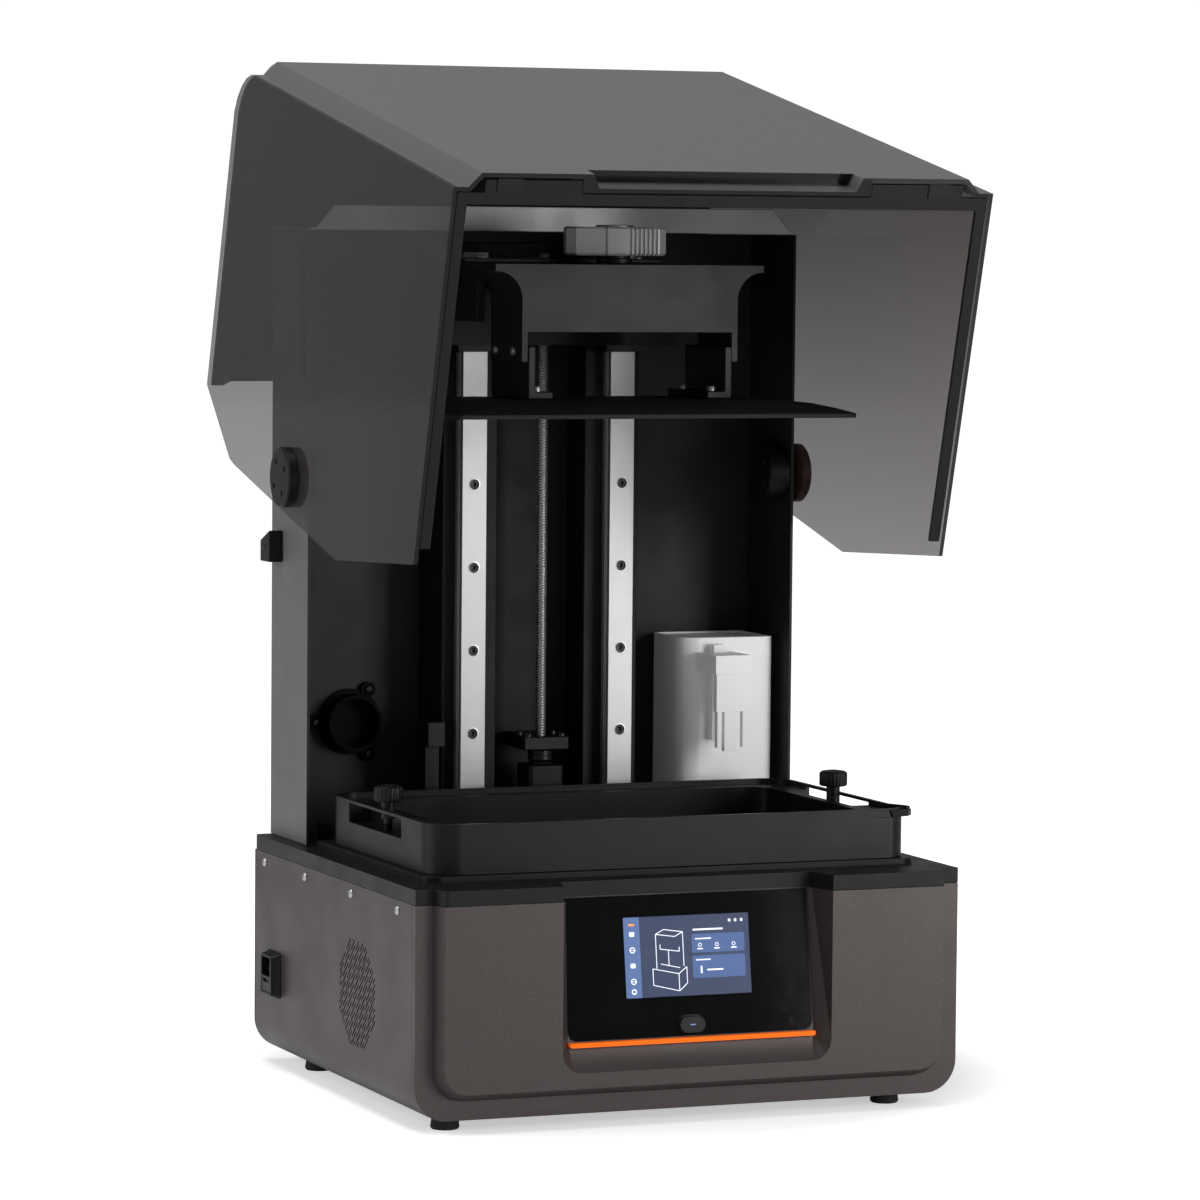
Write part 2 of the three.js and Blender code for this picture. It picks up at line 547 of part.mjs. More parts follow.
function addPlatform() {
  const { half: leg, front: noseFront, rear: noseRear, back, low: legLow, top: noseTop, thick } = NOSE;
  const solid = prism('Y', housingOutline(), noseFront, back, 8);
  const inside = leg - 4.3;
  const channel = box(-inside, inside, noseRear, back + 1, legLow - 1, noseTop - thick);
  const mouth = box(-inside, inside, noseFront - 1, noseRear + 1, legLow - 1, NOSE.beamLow);
  const shaftHole = cylinder('Z', KNOB.shaft + GAP, 0, KNOB.y, 560, 575, 24);
  const bolts = [-1, 1].flatMap((side) => NOSE.boltY.map((y) => {
    const dome = cylinder('X', 3.4, y, NOSE.boltZ, leg - 0.5, leg + 1.8, 14, 2.4);
    return side > 0 ? toSolid(dome) : mirrorX(dome);
  }));
  add('platform_housing', join(cut(solid, channel, mouth, shaftHole), ...bolts), 'plate');

  const foot = PLATE.low + PLATE.crown + GAP;
  const section = [
    [-HANGER.half, foot], [-HANGER.foot, foot], [-HANGER.foot, foot + 5],
    [-HANGER.half + HANGER.thick, foot + 5], [-HANGER.half + HANGER.thick, HANGER.top], [-HANGER.half, HANGER.top]];
  addPair('platform_hanger', prism('Y', section, HANGER.front, HANGER.rear), 'plate');

  const { half, front, rear, low, edge, crown } = PLATE;
  const steps = [[0, 0], [0, edge], [11, 6.4], [25, 9.6], [44, crown]];
  const rings = steps.map(([inset, rise]) => {
    const depthInset = inset * 0.8;
    const outline = ringRect(-half + inset, half - inset, front + depthInset, rear - depthInset, 6, 3);
    return outline.map(([x, y]) => new THREE.Vector3(x, y, low + rise));
  });
  add('build_plate', skin(rings, flatXY), 'plate');

  const lobe = new THREE.Shape();
  lobe.absarc(-KNOB.lobe + 13, 0, 13, Math.PI * 0.62, Math.PI * 1.38);
  lobe.absarc(KNOB.lobe - 13, 0, 13, -Math.PI * 0.38, Math.PI * 0.38);
  const grip = prism('Z', lobe, KNOB.low, KNOB.top, 10)
    .rotateZ(THREE.MathUtils.degToRad(-14)).translate(0, KNOB.y, 0);
  const cap = cylinder('Z', 16, 0, KNOB.y, KNOB.low, KNOB.top + 1.5, 32, 15);
  const stem = cylinder('Z', KNOB.collar, 0, KNOB.y, NOSE.top + GAP, KNOB.low + 1, 28);
  const shaft = cylinder('Z', KNOB.shaft, 0, KNOB.y, NOSE.top - NOSE.thick, KNOB.low, 24);
  add('clamp_knob', join(grip, cap, stem, shaft), 'plastic');
}

// ---------------------------------------------------------------- vat and resin feed

function addVat() {
  const { half, front, rear, low, top, corner, wall, ledge } = VAT;
  const body = prism('Z', roundedRect(-half, half, front, rear, [corner, 14, corner, corner]), low, top, 5);
  const spout = prism('Z', [
    [half - 12, front], [half + 2, front + 4], [half + 7, front + 10], [half + 7, front + 18],
    [half - 1, front + 34], [half - 20, front + 34], [half - 20, front + 1]], top - 6, top);
  const channel = prism('Z', [
    [half - 44, front + 26], [half - 10, front + 5], [half + 1, front + 7], [half + 4.5, front + 12],
    [half + 4.5, front + 17], [half - 3, front + 30], [half - 26, front + 44]], top - ledge, top + 1);
  const pourEdge = prism('Z', [
    [half - 9, front - 2], [half + 9, front - 2], [half + 9, front + 12], [half, front + 12]],
  top - 1.7, top + 1);
  const thumbNotch = prism('Y', [
    [half - 26, top - 6.2], [half - 11.5, top - 6.2], [half - 13, top - 1], [half - 27.5, top - 1]],
  front - 1, front + 1.8);
  const basin = prism(
    'Z', roundedRect(-BASIN.half, BASIN.half, BASIN.front, BASIN.rear, 16), low - 1, top + 1, 5);
  const filmSeat = box(-158, 158, 46.5, 233.5, low - 1, BASIN.floor);
  const inner = corner - wall;
  const ledgeCut = prism(
    'Z', roundedRect(-half + wall, half - wall, front + wall, rear - wall, [inner, 11, inner, inner]),
    top - ledge, top + 1, 5);
  const recess = box(-half + wall, -GRIP.inner, GRIP.front, GRIP.rear, GRIP.low, top + 1);
  const window = box(-half - 1, -half + wall + 1, GRIP.front, GRIP.rear, GRIP.low, GRIP.top);
  const under = box(-half + wall, -GRIP.inner, GRIP.front - 8, GRIP.rear + 3, low - 1, GRIP.low - 3);
  const stemHole = cylinder('Z', THUMB.stem + 0.4, -THUMB.x, THUMB.y, low - 1, top, 24);
  const sides = [recess, window, under, stemHole];
  const voids = [
    box(-150, 150, front + 4, BASIN.front - 6, low - 1, top - 8),
    box(-150, 150, BASIN.rear + 6, rear - 4, low - 1, top - 8)];
  add('vat_body', cut(
    join(body, spout), basin, filmSeat, ledgeCut, ...sides, ...sides.map(mirrorX), ...voids,
    channel, pourEdge, thumbNotch), 'plastic');
  add('release_film', box(-157.5, 157.5, 47, 233, BASIN.floor - 0.9, BASIN.floor - GAP), 'film');
  add('film_frame', cut(
    box(-157.5, 157.5, 47, 233, low + GAP, BASIN.floor - 1.2),
    box(-152, 152, 52, 228, low - 1, BASIN.floor)), 'aluminium');

  const headLow = THUMB.top - 11;
  const profile = [
    [0, 148], [THUMB.stem, 148], [THUMB.stem, 188], [4.8, 188], [4.8, headLow], [THUMB.head - 1, headLow],
    [THUMB.head, headLow + 1], [THUMB.head, THUMB.top - 1.5], [8.6, THUMB.top], [0, THUMB.top]];
  addPair('thumb_screw', turned(profile, -THUMB.x, THUMB.y, 28), 'plastic');
}

function addFeed() {
  const { left, right, front, rear, low, top, corner, rim } = TANK;
  const outline = (inset) => roundedRect(
    left + inset, right - inset, front + inset, rear - inset,
    [corner - inset, 4 - inset / 2, 8 - inset, 8 - inset]);
  const topDish = prism('Z', outline(rim), top - 1.2, top + 1, 6);
  add('feed_tank', cut(prism('Z', outline(0), low, top, 6), topDish), 'white');
  const tapRear = front - GAP;
  const prongs = [[121, 124.3, 219], [126.6, 136.6, 216.5], [141, 145, 219]].map(
    ([x0, x1, z0]) => box(x0, x1, 239, 244, z0, 246));
  add('feed_tap', join(
    box(119, 147, 238, tapRear, 272.7, 286.5), box(120, 146.8, 238.6, 244.5, 245.2, 273), ...prongs,
    box(128.6, 138, 267, tapRear, 222, 273), box(129, 138, 265, tapRear, 286, 292.3)), 'white');
}

// ---------------------------------------------------------------- lid

// Side outline of the closed lid, from the front lower corner up, over and down the rear.
const LID_PATH = [
  [-6.6, 157.2], [27.2, 582], [32.5, 592.6], [40.5, 601.6], [50.8, 609], [62.7, 613.2], [273.2, 619]];
const LID_REAR = [[309.3, 551.4], [310.2, 541], [303, 308.2], [253.4, 157.2]];

// The lid's moulded section, [across, outwards], swept along its path with mitred corners.
function sweptSheet(section, path) {
  const normals = path.slice(1).map(([y, z], k) => {
    const [y0, z0] = path[k];
    const length = Math.hypot(y - y0, z - z0);
    return [-(z - z0) / length, (y - y0) / length];
  });
  const rings = path.map(([y, z], k) => {
    const before = normals[Math.max(k - 1, 0)];
    const after = normals[Math.min(k, normals.length - 1)];
    const sum = [before[0] + after[0], before[1] + after[1]];
    const scale = 2 / (sum[0] ** 2 + sum[1] ** 2);
    return section.map(([x, n]) => new THREE.Vector3(x, y + sum[0] * n * scale, z + sum[1] * n * scale));
  });
  const caps = (point) => new THREE.Vector2(point.x, -point.y);
  return skin(rings, caps);
}

function addLid() {
  const { half, sideOut, sheet, rise, stepOuter, stepInner } = LID;
  const section = [
    [-half, 0], [-stepOuter, 0], [-stepInner, rise], [stepInner, rise], [stepOuter, 0], [half, 0],
    [half, -sheet],
    [stepOuter - 1.5, -sheet], [stepInner - 1.5, rise - sheet], [-stepInner + 1.5, rise - sheet],
    [-stepOuter + 1.5, -sheet], [-half, -sheet]];
  const [frontY, lowZ] = LID_PATH[0];
  const lean = (z) => frontY + ((z - lowZ) * (LID_PATH[1][0] - frontY)) / (LID_PATH[1][1] - lowZ);
  const gripTop = lowZ + NOTCH.height;
  const bottomTrim = box(-half, half, -40, 40, lowZ - 20, lowZ);
  const topLean = lean(gripTop + 3);
  const backing = prism('X', [
    [lean(lowZ) - rise + 0.2, lowZ], [lean(lowZ) + 3, lowZ], [topLean + 3, gripTop + 3],
    [topLean - rise + 0.2, gripTop + 3]], -NOTCH.half - 3, NOTCH.half + 3);
  const gripVoid = prism('Z', [
    [-NOTCH.narrow, lean(lowZ)], [NOTCH.narrow, lean(lowZ)], [NOTCH.half + 2, -30], [-NOTCH.half - 2, -30]],
  lowZ - 1, gripTop);
  add('lid_shell', cut(join(sweptSheet(section, LID_PATH), backing), gripVoid, bottomTrim), 'lid', lid);

  const sideOutline = [...LID_PATH, ...LID_REAR];
  const panel = prism('X', sideOutline, -sideOut, -half - GAP);
  const pinHole = cylinder('X', HINGE.pin + 0.6, HINGE.y, HINGE.z, -sideOut - 1, -half + 1, 32);
  addPair('lid_side', cut(panel, pinHole), 'lidSide', lid);

  const rimLow = lowZ + 1;
  const rimFront = frontY + sheet + 0.5;
  const rimPlan = join(
    box(-half + GAP, half - GAP, rimFront, 243, rimLow, rimLow + 3),
    box(-stepInner + 3, stepInner - 3, rimFront - rise + 0.8, rimFront + 1, rimLow, rimLow + 3));
  const rimInner = box(-half + 8, half - 8, rimFront + 9, 260, rimLow - 1, rimLow + 9);
  const rimNotch = box(
    -NOTCH.half - 3.4, NOTCH.half + 3.4, rimFront - 20, rimFront + 0.3, rimLow - 1, rimLow + 9);
  add('lid_rim', cut(rimPlan, rimInner, rimNotch), 'lidSide', lid);

  const disc = cylinder('X', HINGE.disc, HINGE.y, HINGE.z, -HINGE.outer + 1.2, -sideOut - GAP, 48);
  const bevel = cylinder(
    'X', HINGE.disc - 1.2, HINGE.y, HINGE.z, -HINGE.outer, -HINGE.outer + 1.2, 48, HINGE.disc);
  const bolts = [45, 135, 225, 315].map((degrees) => {
    const angle = THREE.MathUtils.degToRad(degrees);
    const [y, z] = [HINGE.y + 13 * Math.cos(angle), HINGE.z + 13 * Math.sin(angle)];
    return cylinder('X', 2.6, y, z, -HINGE.outer - 1, -HINGE.outer + 1.4, 12);
  });
  const bore = cylinder('X', HINGE.pin + GAP, HINGE.y, HINGE.z, -HINGE.outer + 2.5, -sideOut + 1, 32);
  addPair('hinge_disc', cut(join(disc, bevel), ...bolts, bore), 'plastic', lid);

  lid.children.forEach((mesh) => mesh.geometry.translate(0, -HINGE.y, -HINGE.z));
  lid.position.set(0, HINGE.y, HINGE.z);
  lid.rotation.x = THREE.MathUtils.degToRad(-OPEN_ANGLE);
  printer.add(lid);

  const flangeInner = COLUMN.half - COLUMN.sheet - GAP;
  const hub = cylinder('X', HINGE.hub, HINGE.y, HINGE.z, -flangeInner, -HINGE.inner - 1.2, 48);
  const hubBevel = cylinder(
    'X', HINGE.hub, HINGE.y, HINGE.z, -HINGE.inner - 1.2, -HINGE.inner, 48, HINGE.hub - 1.2);
  const pin = cylinder('X', HINGE.pin, HINGE.y, HINGE.z, -HINGE.outer + 3, -flangeInner + 1, 32);
  addPair('hinge_hub', join(hub, hubBevel, pin), 'plastic');
}

addBase();
addFront();
addDeck();
addInlet();
addInternals();
addColumn();
addDrive();
addCarriage();
addPlatform();
addVat();
addFeed();
addLid();

// The open lid's extent in Y, which sets where the origin lies.
printer.updateMatrixWorld(true);
const extent = new THREE.Box3().setFromObject(printer, true);
printer.position.set(0, -(extent.min.y + extent.max.y) / 2, BASE.footHeight);

export default printer;
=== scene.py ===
"""Resin printer with its lid up: looks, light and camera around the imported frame.

Sizes are millimetres in the base's own axes (X right, Y back from the front border, Z up from the
base's underside) and become metres in the row frame through at().
"""

import json
import math

import bmesh
import bpy
from mathutils import Matrix, Vector

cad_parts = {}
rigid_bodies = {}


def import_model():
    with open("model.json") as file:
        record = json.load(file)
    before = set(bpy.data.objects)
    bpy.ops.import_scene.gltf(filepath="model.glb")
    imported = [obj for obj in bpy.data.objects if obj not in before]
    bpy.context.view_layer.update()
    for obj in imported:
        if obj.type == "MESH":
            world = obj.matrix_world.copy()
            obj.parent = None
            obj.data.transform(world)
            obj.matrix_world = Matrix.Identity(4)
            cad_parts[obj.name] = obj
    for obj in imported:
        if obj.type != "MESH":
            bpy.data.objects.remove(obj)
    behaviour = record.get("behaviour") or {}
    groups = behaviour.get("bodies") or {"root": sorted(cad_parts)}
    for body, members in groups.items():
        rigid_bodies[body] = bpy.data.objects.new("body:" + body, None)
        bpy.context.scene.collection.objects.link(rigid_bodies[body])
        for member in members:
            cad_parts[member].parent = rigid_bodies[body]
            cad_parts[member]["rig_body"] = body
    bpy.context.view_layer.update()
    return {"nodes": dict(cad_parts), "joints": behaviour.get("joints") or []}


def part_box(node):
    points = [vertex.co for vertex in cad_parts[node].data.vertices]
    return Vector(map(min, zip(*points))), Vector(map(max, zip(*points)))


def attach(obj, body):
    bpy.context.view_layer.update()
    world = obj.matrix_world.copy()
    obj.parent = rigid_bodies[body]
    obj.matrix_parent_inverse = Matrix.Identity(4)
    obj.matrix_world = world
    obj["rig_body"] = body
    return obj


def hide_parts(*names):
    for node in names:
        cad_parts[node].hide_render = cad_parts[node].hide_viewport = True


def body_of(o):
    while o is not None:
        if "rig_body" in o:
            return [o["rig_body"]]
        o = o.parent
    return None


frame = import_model()

MM = 0.001
BASE_DEPTH = 338
BASE_HALF = 200
WRAP_TOP = 145.6
WRAP_WALL = 2
WRAP_FRONT, WRAP_BACK = 6.3, 335.7
INLET_OPENING = (281, 303, 47, 74)  # Y and Z limits in the left wall
VENT_Y, VENT_Z = 115, 71
FAN_X, FAN_Z = -105, 78
DISPLAY = (-46.3, 46.3, 76, 130)  # X and Z limits of the lit area
DUCT_X, DUCT_Z = -129.5, 236.5
RAIL_X, LOWEST_RAIL_HOLE, RAIL_PITCH, RAIL_HOLES = 57.3, 171.5, 60, 7
SCREW_Y = 284
KNOB_Y = 150
THUMB_X, THUMB_Y = 168.9, 140.5
HINGE_Y, HINGE_Z = 279, 417.5
HUB_FACE = 170.2  # the hubs' inner faces, from the middle
ORIGIN_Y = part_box("base_back_panel")[1].y - BASE_DEPTH * MM
ORIGIN_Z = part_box("base_housing")[0].z
LID_JOINT = next(j for j in frame["joints"] if j["name"] == "lid_hinge")
LID_PIVOT = Vector(LID_JOINT["pos_m"])
LID_OPEN = math.radians(LID_JOINT["range_deg"][1])


def at(x, y, z):
    return Vector((x * MM, ORIGIN_Y + y * MM, ORIGIN_Z + z * MM))


def on_lid(point):
    """A point given for the closed lid, where it is with the lid open."""
    return Matrix.Rotation(-LID_OPEN, 3, "X") @ (point - LID_PIVOT) + LID_PIVOT


# ------------------------------------------------------------------ materials


class Shader:
    """A Principled material with helpers for its texture nodes."""

    def __init__(self, name):
        self.material = bpy.data.materials.new(name)
        self.material.use_nodes = True
        self.nodes = self.material.node_tree.nodes
        self.links = self.material.node_tree.links
        self.surface = self.nodes["Principled BSDF"]
        self.place = self.nodes.new("ShaderNodeTexCoord").outputs["Object"]

    def set(self, **sockets):
        for name, value in sockets.items():
            self.surface.inputs[name.replace("_", " ")].default_value = value

    def mapped(self, scale, rotation=(0, 0, 0)):
        """Object coordinates, first turned and then stretched."""
        turn, stretch = (self.nodes.new("ShaderNodeMapping") for _ in range(2))
        turn.inputs["Rotation"].default_value = [math.radians(a) for a in rotation]
        stretch.inputs["Scale"].default_value = scale
        self.links.new(self.place, turn.inputs["Vector"])
        self.links.new(turn.outputs["Vector"], stretch.inputs["Vector"])
        return stretch.outputs["Vector"]

    def noise(self, scale, detail=3.0, vector=None):
        node = self.nodes.new("ShaderNodeTexNoise")
        node.inputs["Scale"].default_value = scale
        node.inputs["Detail"].default_value = detail
        self.links.new(vector or self.place, node.inputs["Vector"])
        return node.outputs["Fac"]

    def spread(self, value, low, high, start=0.3, end=0.7):
        node = self.nodes.new("ShaderNodeMapRange")
        for socket, number in zip(("From Min", "From Max", "To Min", "To Max"), (start, end, low, high)):
            node.inputs[socket].default_value = number
        self.links.new(value, node.inputs["Value"])
        return node.outputs["Result"]

    def colours(self, value, stops):
        node = self.nodes.new("ShaderNodeValToRGB")
        ramp = node.color_ramp
        ramp.elements[0].position, ramp.elements[0].color = stops[0][0], (*stops[0][1], 1)
        ramp.elements[1].position, ramp.elements[1].color = stops[-1][0], (*stops[-1][1], 1)
        for position, colour in stops[1:-1]:
            ramp.elements.new(position).color = (*colour, 1)
        self.links.new(value, node.inputs["Fac"])
        return node.outputs["Color"]

    def feed(self, output, socket):
        self.links.new(output, self.surface.inputs[socket])

    def bump(self, value, strength, distance=0.0002):
        node = self.nodes.new("ShaderNodeBump")
        node.inputs["Strength"].default_value = strength
        node.inputs["Distance"].default_value = distance
        self.links.new(value, node.inputs["Height"])
        self.links.new(node.outputs["Normal"], self.surface.inputs["Normal"])


def shade(colour, factor):
    return tuple(min(1.0, c * factor) for c in colour)


def coated(name, colour, roughness, metallic=0.0, grain=1800, bump=0.12, vary=0.08, **sockets):
    """Paint, moulded plastic or anodising: broad tone drift, a fine grain and uneven gloss."""
    s = Shader(name)
    s.set(Metallic=metallic, **sockets)
    drift, gloss = s.noise(9, 4), s.noise(34, 5)
    s.feed(s.colours(drift, [(0.3, shade(colour, 1 - vary)), (0.7, shade(colour, 1 + vary))]), "Base Color")
    s.feed(s.spread(gloss, roughness - 0.05, roughness + 0.05), "Roughness")
    s.bump(s.noise(grain, 2), bump)
    return s.material


def speckled(name, colour, fleck, roughness, metallic):
    """Metal-flake paint: tiny bright flecks in a satin ground."""
    s = Shader(name)
    s.set(Metallic=metallic, Specular_IOR_Level=0.35)
    flecks = s.noise(3200, 1)
    s.feed(s.colours(flecks, [(0.45, colour), (0.6, shade(colour, 1.12)), (0.72, fleck)]), "Base Color")
    s.feed(s.spread(s.noise(26, 5), roughness - 0.04, roughness + 0.05), "Roughness")
    s.bump(s.noise(2300, 2), 0.08)
    return s.material


def ground_steel(name, colour, slant):
    """Ground steel with fine parallel scratches at a slant across the face."""
    s = Shader(name)
    s.set(Metallic=0.75)
    lines = s.noise(1, 3, s.mapped((90, 90, 4800), (0, slant, 0)))
    tones = [(0.3, shade(colour, 0.88)), (0.5, colour), (0.7, shade(colour, 1.08))]
    s.feed(s.colours(lines, tones), "Base Color")
    s.feed(s.spread(lines, 0.32, 0.46), "Roughness")
    s.bump(lines, 0.12)
    return s.material


SHADE_RISE_LOW, SHADE_RISE_HIGH = 0.38, 0.68  # heights in metres between which a smoked sheet gets denser, painted shade that darkens its upper part


def smoky(name, colour, alpha, roughness, shade_rise=0.0, **sockets):
    """Tinted clear moulding with faint marks in the gloss; rise is how much denser it gets with height,
    painted shade that darkens the upper part.
    """
    s = Shader(name)
    s.set(Alpha=alpha, **sockets)
    if shade_rise:
        parts = s.nodes.new("ShaderNodeSeparateXYZ")
        s.links.new(s.place, parts.inputs["Vector"])
        s.feed(s.spread(parts.outputs["Z"], alpha, alpha + shade_rise, SHADE_RISE_LOW, SHADE_RISE_HIGH), "Alpha")
    s.feed(s.colours(s.noise(2.5, 1), [(0.3, shade(colour, 0.97)), (0.7, shade(colour, 1.03))]), "Base Color")
    s.feed(s.spread(s.noise(90, 6), roughness - 0.01, roughness + 0.025), "Roughness")
    return s.material


def glowing(name, colour, strength):
    """A lit area of the display, with its pixel rows as a faint ripple."""
    s = Shader(name)
    s.set(Roughness=0.4, Emission_Strength=strength)
    rows = s.noise(1, 1, s.mapped((200, 200, 9000)))
    tint = s.colours(rows, [(0.3, shade(colour, 0.94)), (0.7, colour)])
    s.feed(tint, "Base Color")
    s.feed(tint, "Emission Color")
    return s.material


def circuit(name):
    """Green circuit board with faint parallel tracks."""
    s = Shader(name)
    s.set(Roughness=0.45)
    tracks = s.noise(1, 2, s.mapped((700, 90, 200)))
    dark, light = (0.01, 0.07, 0.03), (0.02, 0.14, 0.06)
    s.feed(s.colours(tracks, [(0.42, dark), (0.5, light), (0.6, dark)]), "Base Color")
    s.bump(tracks, 0.2)
    return s.material


DULL = {"Specular_IOR_Level": 0.2}

LOOK = {
    "housing": speckled("housing_paint", (0.058, 0.048, 0.0465), (0.11, 0.098, 0.095), 0.4, 0.45),
    "grey_sheet": coated("grey_powder_coat", (0.125, 0.125, 0.127), 0.5, 0.1, grain=2600, bump=0.3),
    # the hood's sheet is much lighter than the column's grey of the same sheet: painted light on the hood
    "hood": coated("hood_coat_painted_light", (0.42, 0.42, 0.42), 0.4, 0.7, grain=2600, bump=0.25),
    "black_sheet": coated("black_powder_coat", (0.006, 0.006, 0.0063), 0.5, grain=2600, bump=0.3, **DULL),
    # a darker copy of the column's grey for its inside faces and foot flanges: painted shade
    "shaded_inner_sheet": coated("column_inside_painted_shade", (0.016, 0.016, 0.016), 0.5, grain=2600, bump=0.3, **DULL),
    "deck": coated("deck_anodised", (0.006, 0.006, 0.0062), 0.38, 0.1, grain=3000, bump=0.15, **DULL),
    "beam": coated("platform_anodised", (0.019, 0.019, 0.0195), 0.42, 0.25, grain=3200, bump=0.2, **DULL),
    "plate": coated("plate_blasted", (0.016, 0.016, 0.0165), 0.6, 0.2, grain=1500, bump=0.6, vary=0.16,
                    **DULL),
    "raw": coated("milled_aluminium", (0.5, 0.5, 0.52), 0.4, 0.9, grain=900, bump=0.2),
    "steel": ground_steel("rail_steel", (0.4, 0.4, 0.4), 42),
    "screw_steel": ground_steel("screw_steel", (0.42, 0.42, 0.43), 0),
    "black_screw": coated("black_oxide", (0.02, 0.02, 0.021), 0.35, 0.6, grain=2000, bump=0.15),
    "plastic": coated("black_moulding", (0.006, 0.006, 0.0063), 0.4, grain=2400, bump=0.25, **DULL),
    "knob": coated("knob_moulding", (0.33, 0.33, 0.333), 0.38, 0.35, grain=2400, bump=0.2),
    "vat": coated("vat_moulding", (0.005, 0.005, 0.0052), 0.34, grain=2800, bump=0.12, **DULL),
    # the faint emission is painted light that brightens the white tank, tap and nut
    "white": coated("white_moulding_painted_glow", (0.88, 0.88, 0.885), 0.35, grain=2200, bump=0.06, vary=0.02,
                    Emission_Color=(1, 1, 1, 1), Emission_Strength=0.02),
    "rubber": coated("rubber", (0.01, 0.01, 0.01), 0.8, grain=1400, bump=0.5),
    # the accent strip is no lamp: its emission is painted glow
    "orange": coated("orange_strip_painted_glow", (1.0, 0.15, 0.0), 0.45, grain=2400, bump=0.08, vary=0.05,
                     Emission_Color=(1.0, 0.16, 0.0, 1), Emission_Strength=0.3, **DULL),
    "mask": smoky("mask_glass", (0.006, 0.007, 0.01), 1.0, 0.08),
    "glass": smoky("screen_glass_clear", (0.002, 0.002, 0.0025), 0.1, 0.06, Specular_IOR_Level=0.1),
    "print": coated("black_back_print", (0.003, 0.003, 0.0032), 0.6, grain=1200, bump=0.02,
                    Specular_IOR_Level=0.05),
    "film": smoky("release_film_clear", (0.02, 0.022, 0.024), 0.75, 0.12),
    "lid": smoky("lid_moulding", (0.1, 0.097, 0.102), 0.96, 0.24, Coat_Weight=0.3, Coat_Roughness=0.1),
    # both side sheets get denser toward the top: painted shade
    "lid_side_left": smoky("lid_left_sheet", (0.042, 0.036, 0.036), 0.53, 0.06, shade_rise=0.12,
                            Specular_IOR_Level=0.3),
    "lid_side_right": smoky("lid_right_sheet", (0.076, 0.035, 0.026), 0.55, 0.06, shade_rise=0.27,
                             Specular_IOR_Level=0.4),
    "rim": smoky("lid_rim_moulding", (0.005, 0.004, 0.0038), 0.95, 0.14, Specular_IOR_Level=0.25),
    "board": circuit("circuit_board"),
    "ui_ground": glowing("ui_ground", (0.012, 0.025, 0.075), 1.0),
    "ui_bar": glowing("ui_bar", (0.07, 0.13, 0.3), 1.0),
    "ui_card": glowing("ui_card", (0.045, 0.095, 0.25), 1.0),
    "ui_white": glowing("ui_white", (0.82, 0.86, 0.95), 1.0),
    "ui_accent": glowing("ui_accent", (1.0, 0.3, 0.04), 1.0),
}


# ------------------------------------------------------------------ solids

ORDER = {"X": lambda u, v, w: (w, u, v), "Y": lambda u, v, w: (u, w, v), "Z": lambda u, v, w: (u, v, w)}

# screw heads as shares of (radius, height), from the foot of the head round to the socket's floor
DOME_HEAD = ((1.0, -0.2), (1.0, 0.25), (0.93, 0.6), (0.72, 0.9), (0.45, 1.0), (0.38, 1.0), (0.34, 0.45),
             (0.02, 0.4))
CAP_HEAD = ((1.0, -0.2), (1.0, 0.85), (0.9, 1.0), (0.56, 1.0), (0.5, 0.9), (0.48, 0.35), (0.02, 0.3))
HEAD_SIDES = 20


class Solid:
    """Closed shapes gathered in the base's millimetres."""

    def __init__(self):
        self.mesh = bmesh.new()

    def loft(self, rings, capped=True):
        """Skin over rings of points, closed by end faces or, uncapped, back to the first ring."""
        rows = [[self.mesh.verts.new(point) for point in ring] for ring in rings]
        for low, high in zip(rows, rows[1:]):
            for k in range(len(low)):
                n = (k + 1) % len(low)
                self.mesh.faces.new((low[k], low[n], high[n], high[k]))
        if capped:
            self.mesh.faces.new(reversed(rows[0]))
            self.mesh.faces.new(rows[-1])
        else:
            for k in range(len(rows[0])):
                n = (k + 1) % len(rows[0])
                self.mesh.faces.new((rows[-1][k], rows[-1][n], rows[0][n], rows[0][k]))
        return self

    def prism(self, axis, outline, low, high):
        place = ORDER[axis]
        return self.loft([[place(u, v, w) for u, v in outline] for w in (low, high)])

    def box(self, x0, x1, y0, y1, z0, z1):
        return self.prism("Z", [(x0, y0), (x1, y0), (x1, y1), (x0, y1)], z0, z1)

    def lathe(self, axis, u, v, profile, sides=32, capped=True):
        """Profile of (radius, place along the axis) about the line through u, v."""
        place = ORDER[axis]
        turns = [2 * math.pi * k / sides for k in range(sides)]
        rings = [[place(u + r * math.cos(a), v + r * math.sin(a), w) for a in turns] for r, w in profile]
        return self.loft(rings, capped)

    def screw(self, axis, u, v, face, out, radius, height, head=DOME_HEAD):
        """Domed head with a socket, standing out from a face in the direction out (1 or -1)."""
        return self.lathe(axis, u, v, [(radius * r, face + out * height * h) for r, h in head], HEAD_SIDES)

    def cap_screw(self, *place):
        """Straight-sided head with a deep socket, placed as screw() is."""
        return self.screw(*place, CAP_HEAD)


def rounded(u0, u1, v0, v1, radii, steps=6):
    """Outline of a rectangle with a radius for each corner, from the low corner anticlockwise."""
    a, b, c, d = radii if isinstance(radii, tuple) else (radii,) * 4
    corners = ((u0 + a, v0 + a, a, 180), (u1 - b, v0 + b, b, 270),
               (u1 - c, v1 - c, c, 0), (u0 + d, v1 - d, d, 90))
    points = []
    for u, v, radius, start in corners:
        for step in range(steps + 1 if radius else 1):
            turn = math.radians(start + 90 * step / steps)
            points.append((u + radius * math.cos(turn), v + radius * math.sin(turn)))
    return points


def linked(bm, name):
    """An edit mesh as a named object in the scene."""
    mesh = bpy.data.meshes.new(name)
    bm.to_mesh(mesh)
    bm.free()
    obj = bpy.data.objects.new(name, mesh)
    bpy.context.scene.collection.objects.link(obj)
    return obj


def in_place(solid, name, lid=False):
    """Gathered shapes as an object in the row frame; lid is for shapes given for the closed lid."""
    bm = solid.mesh
    bmesh.ops.recalc_face_normals(bm, faces=bm.faces)
    for vert in bm.verts:
        point = at(*vert.co)
        vert.co = on_lid(point) if lid else point
    return linked(bm, name)


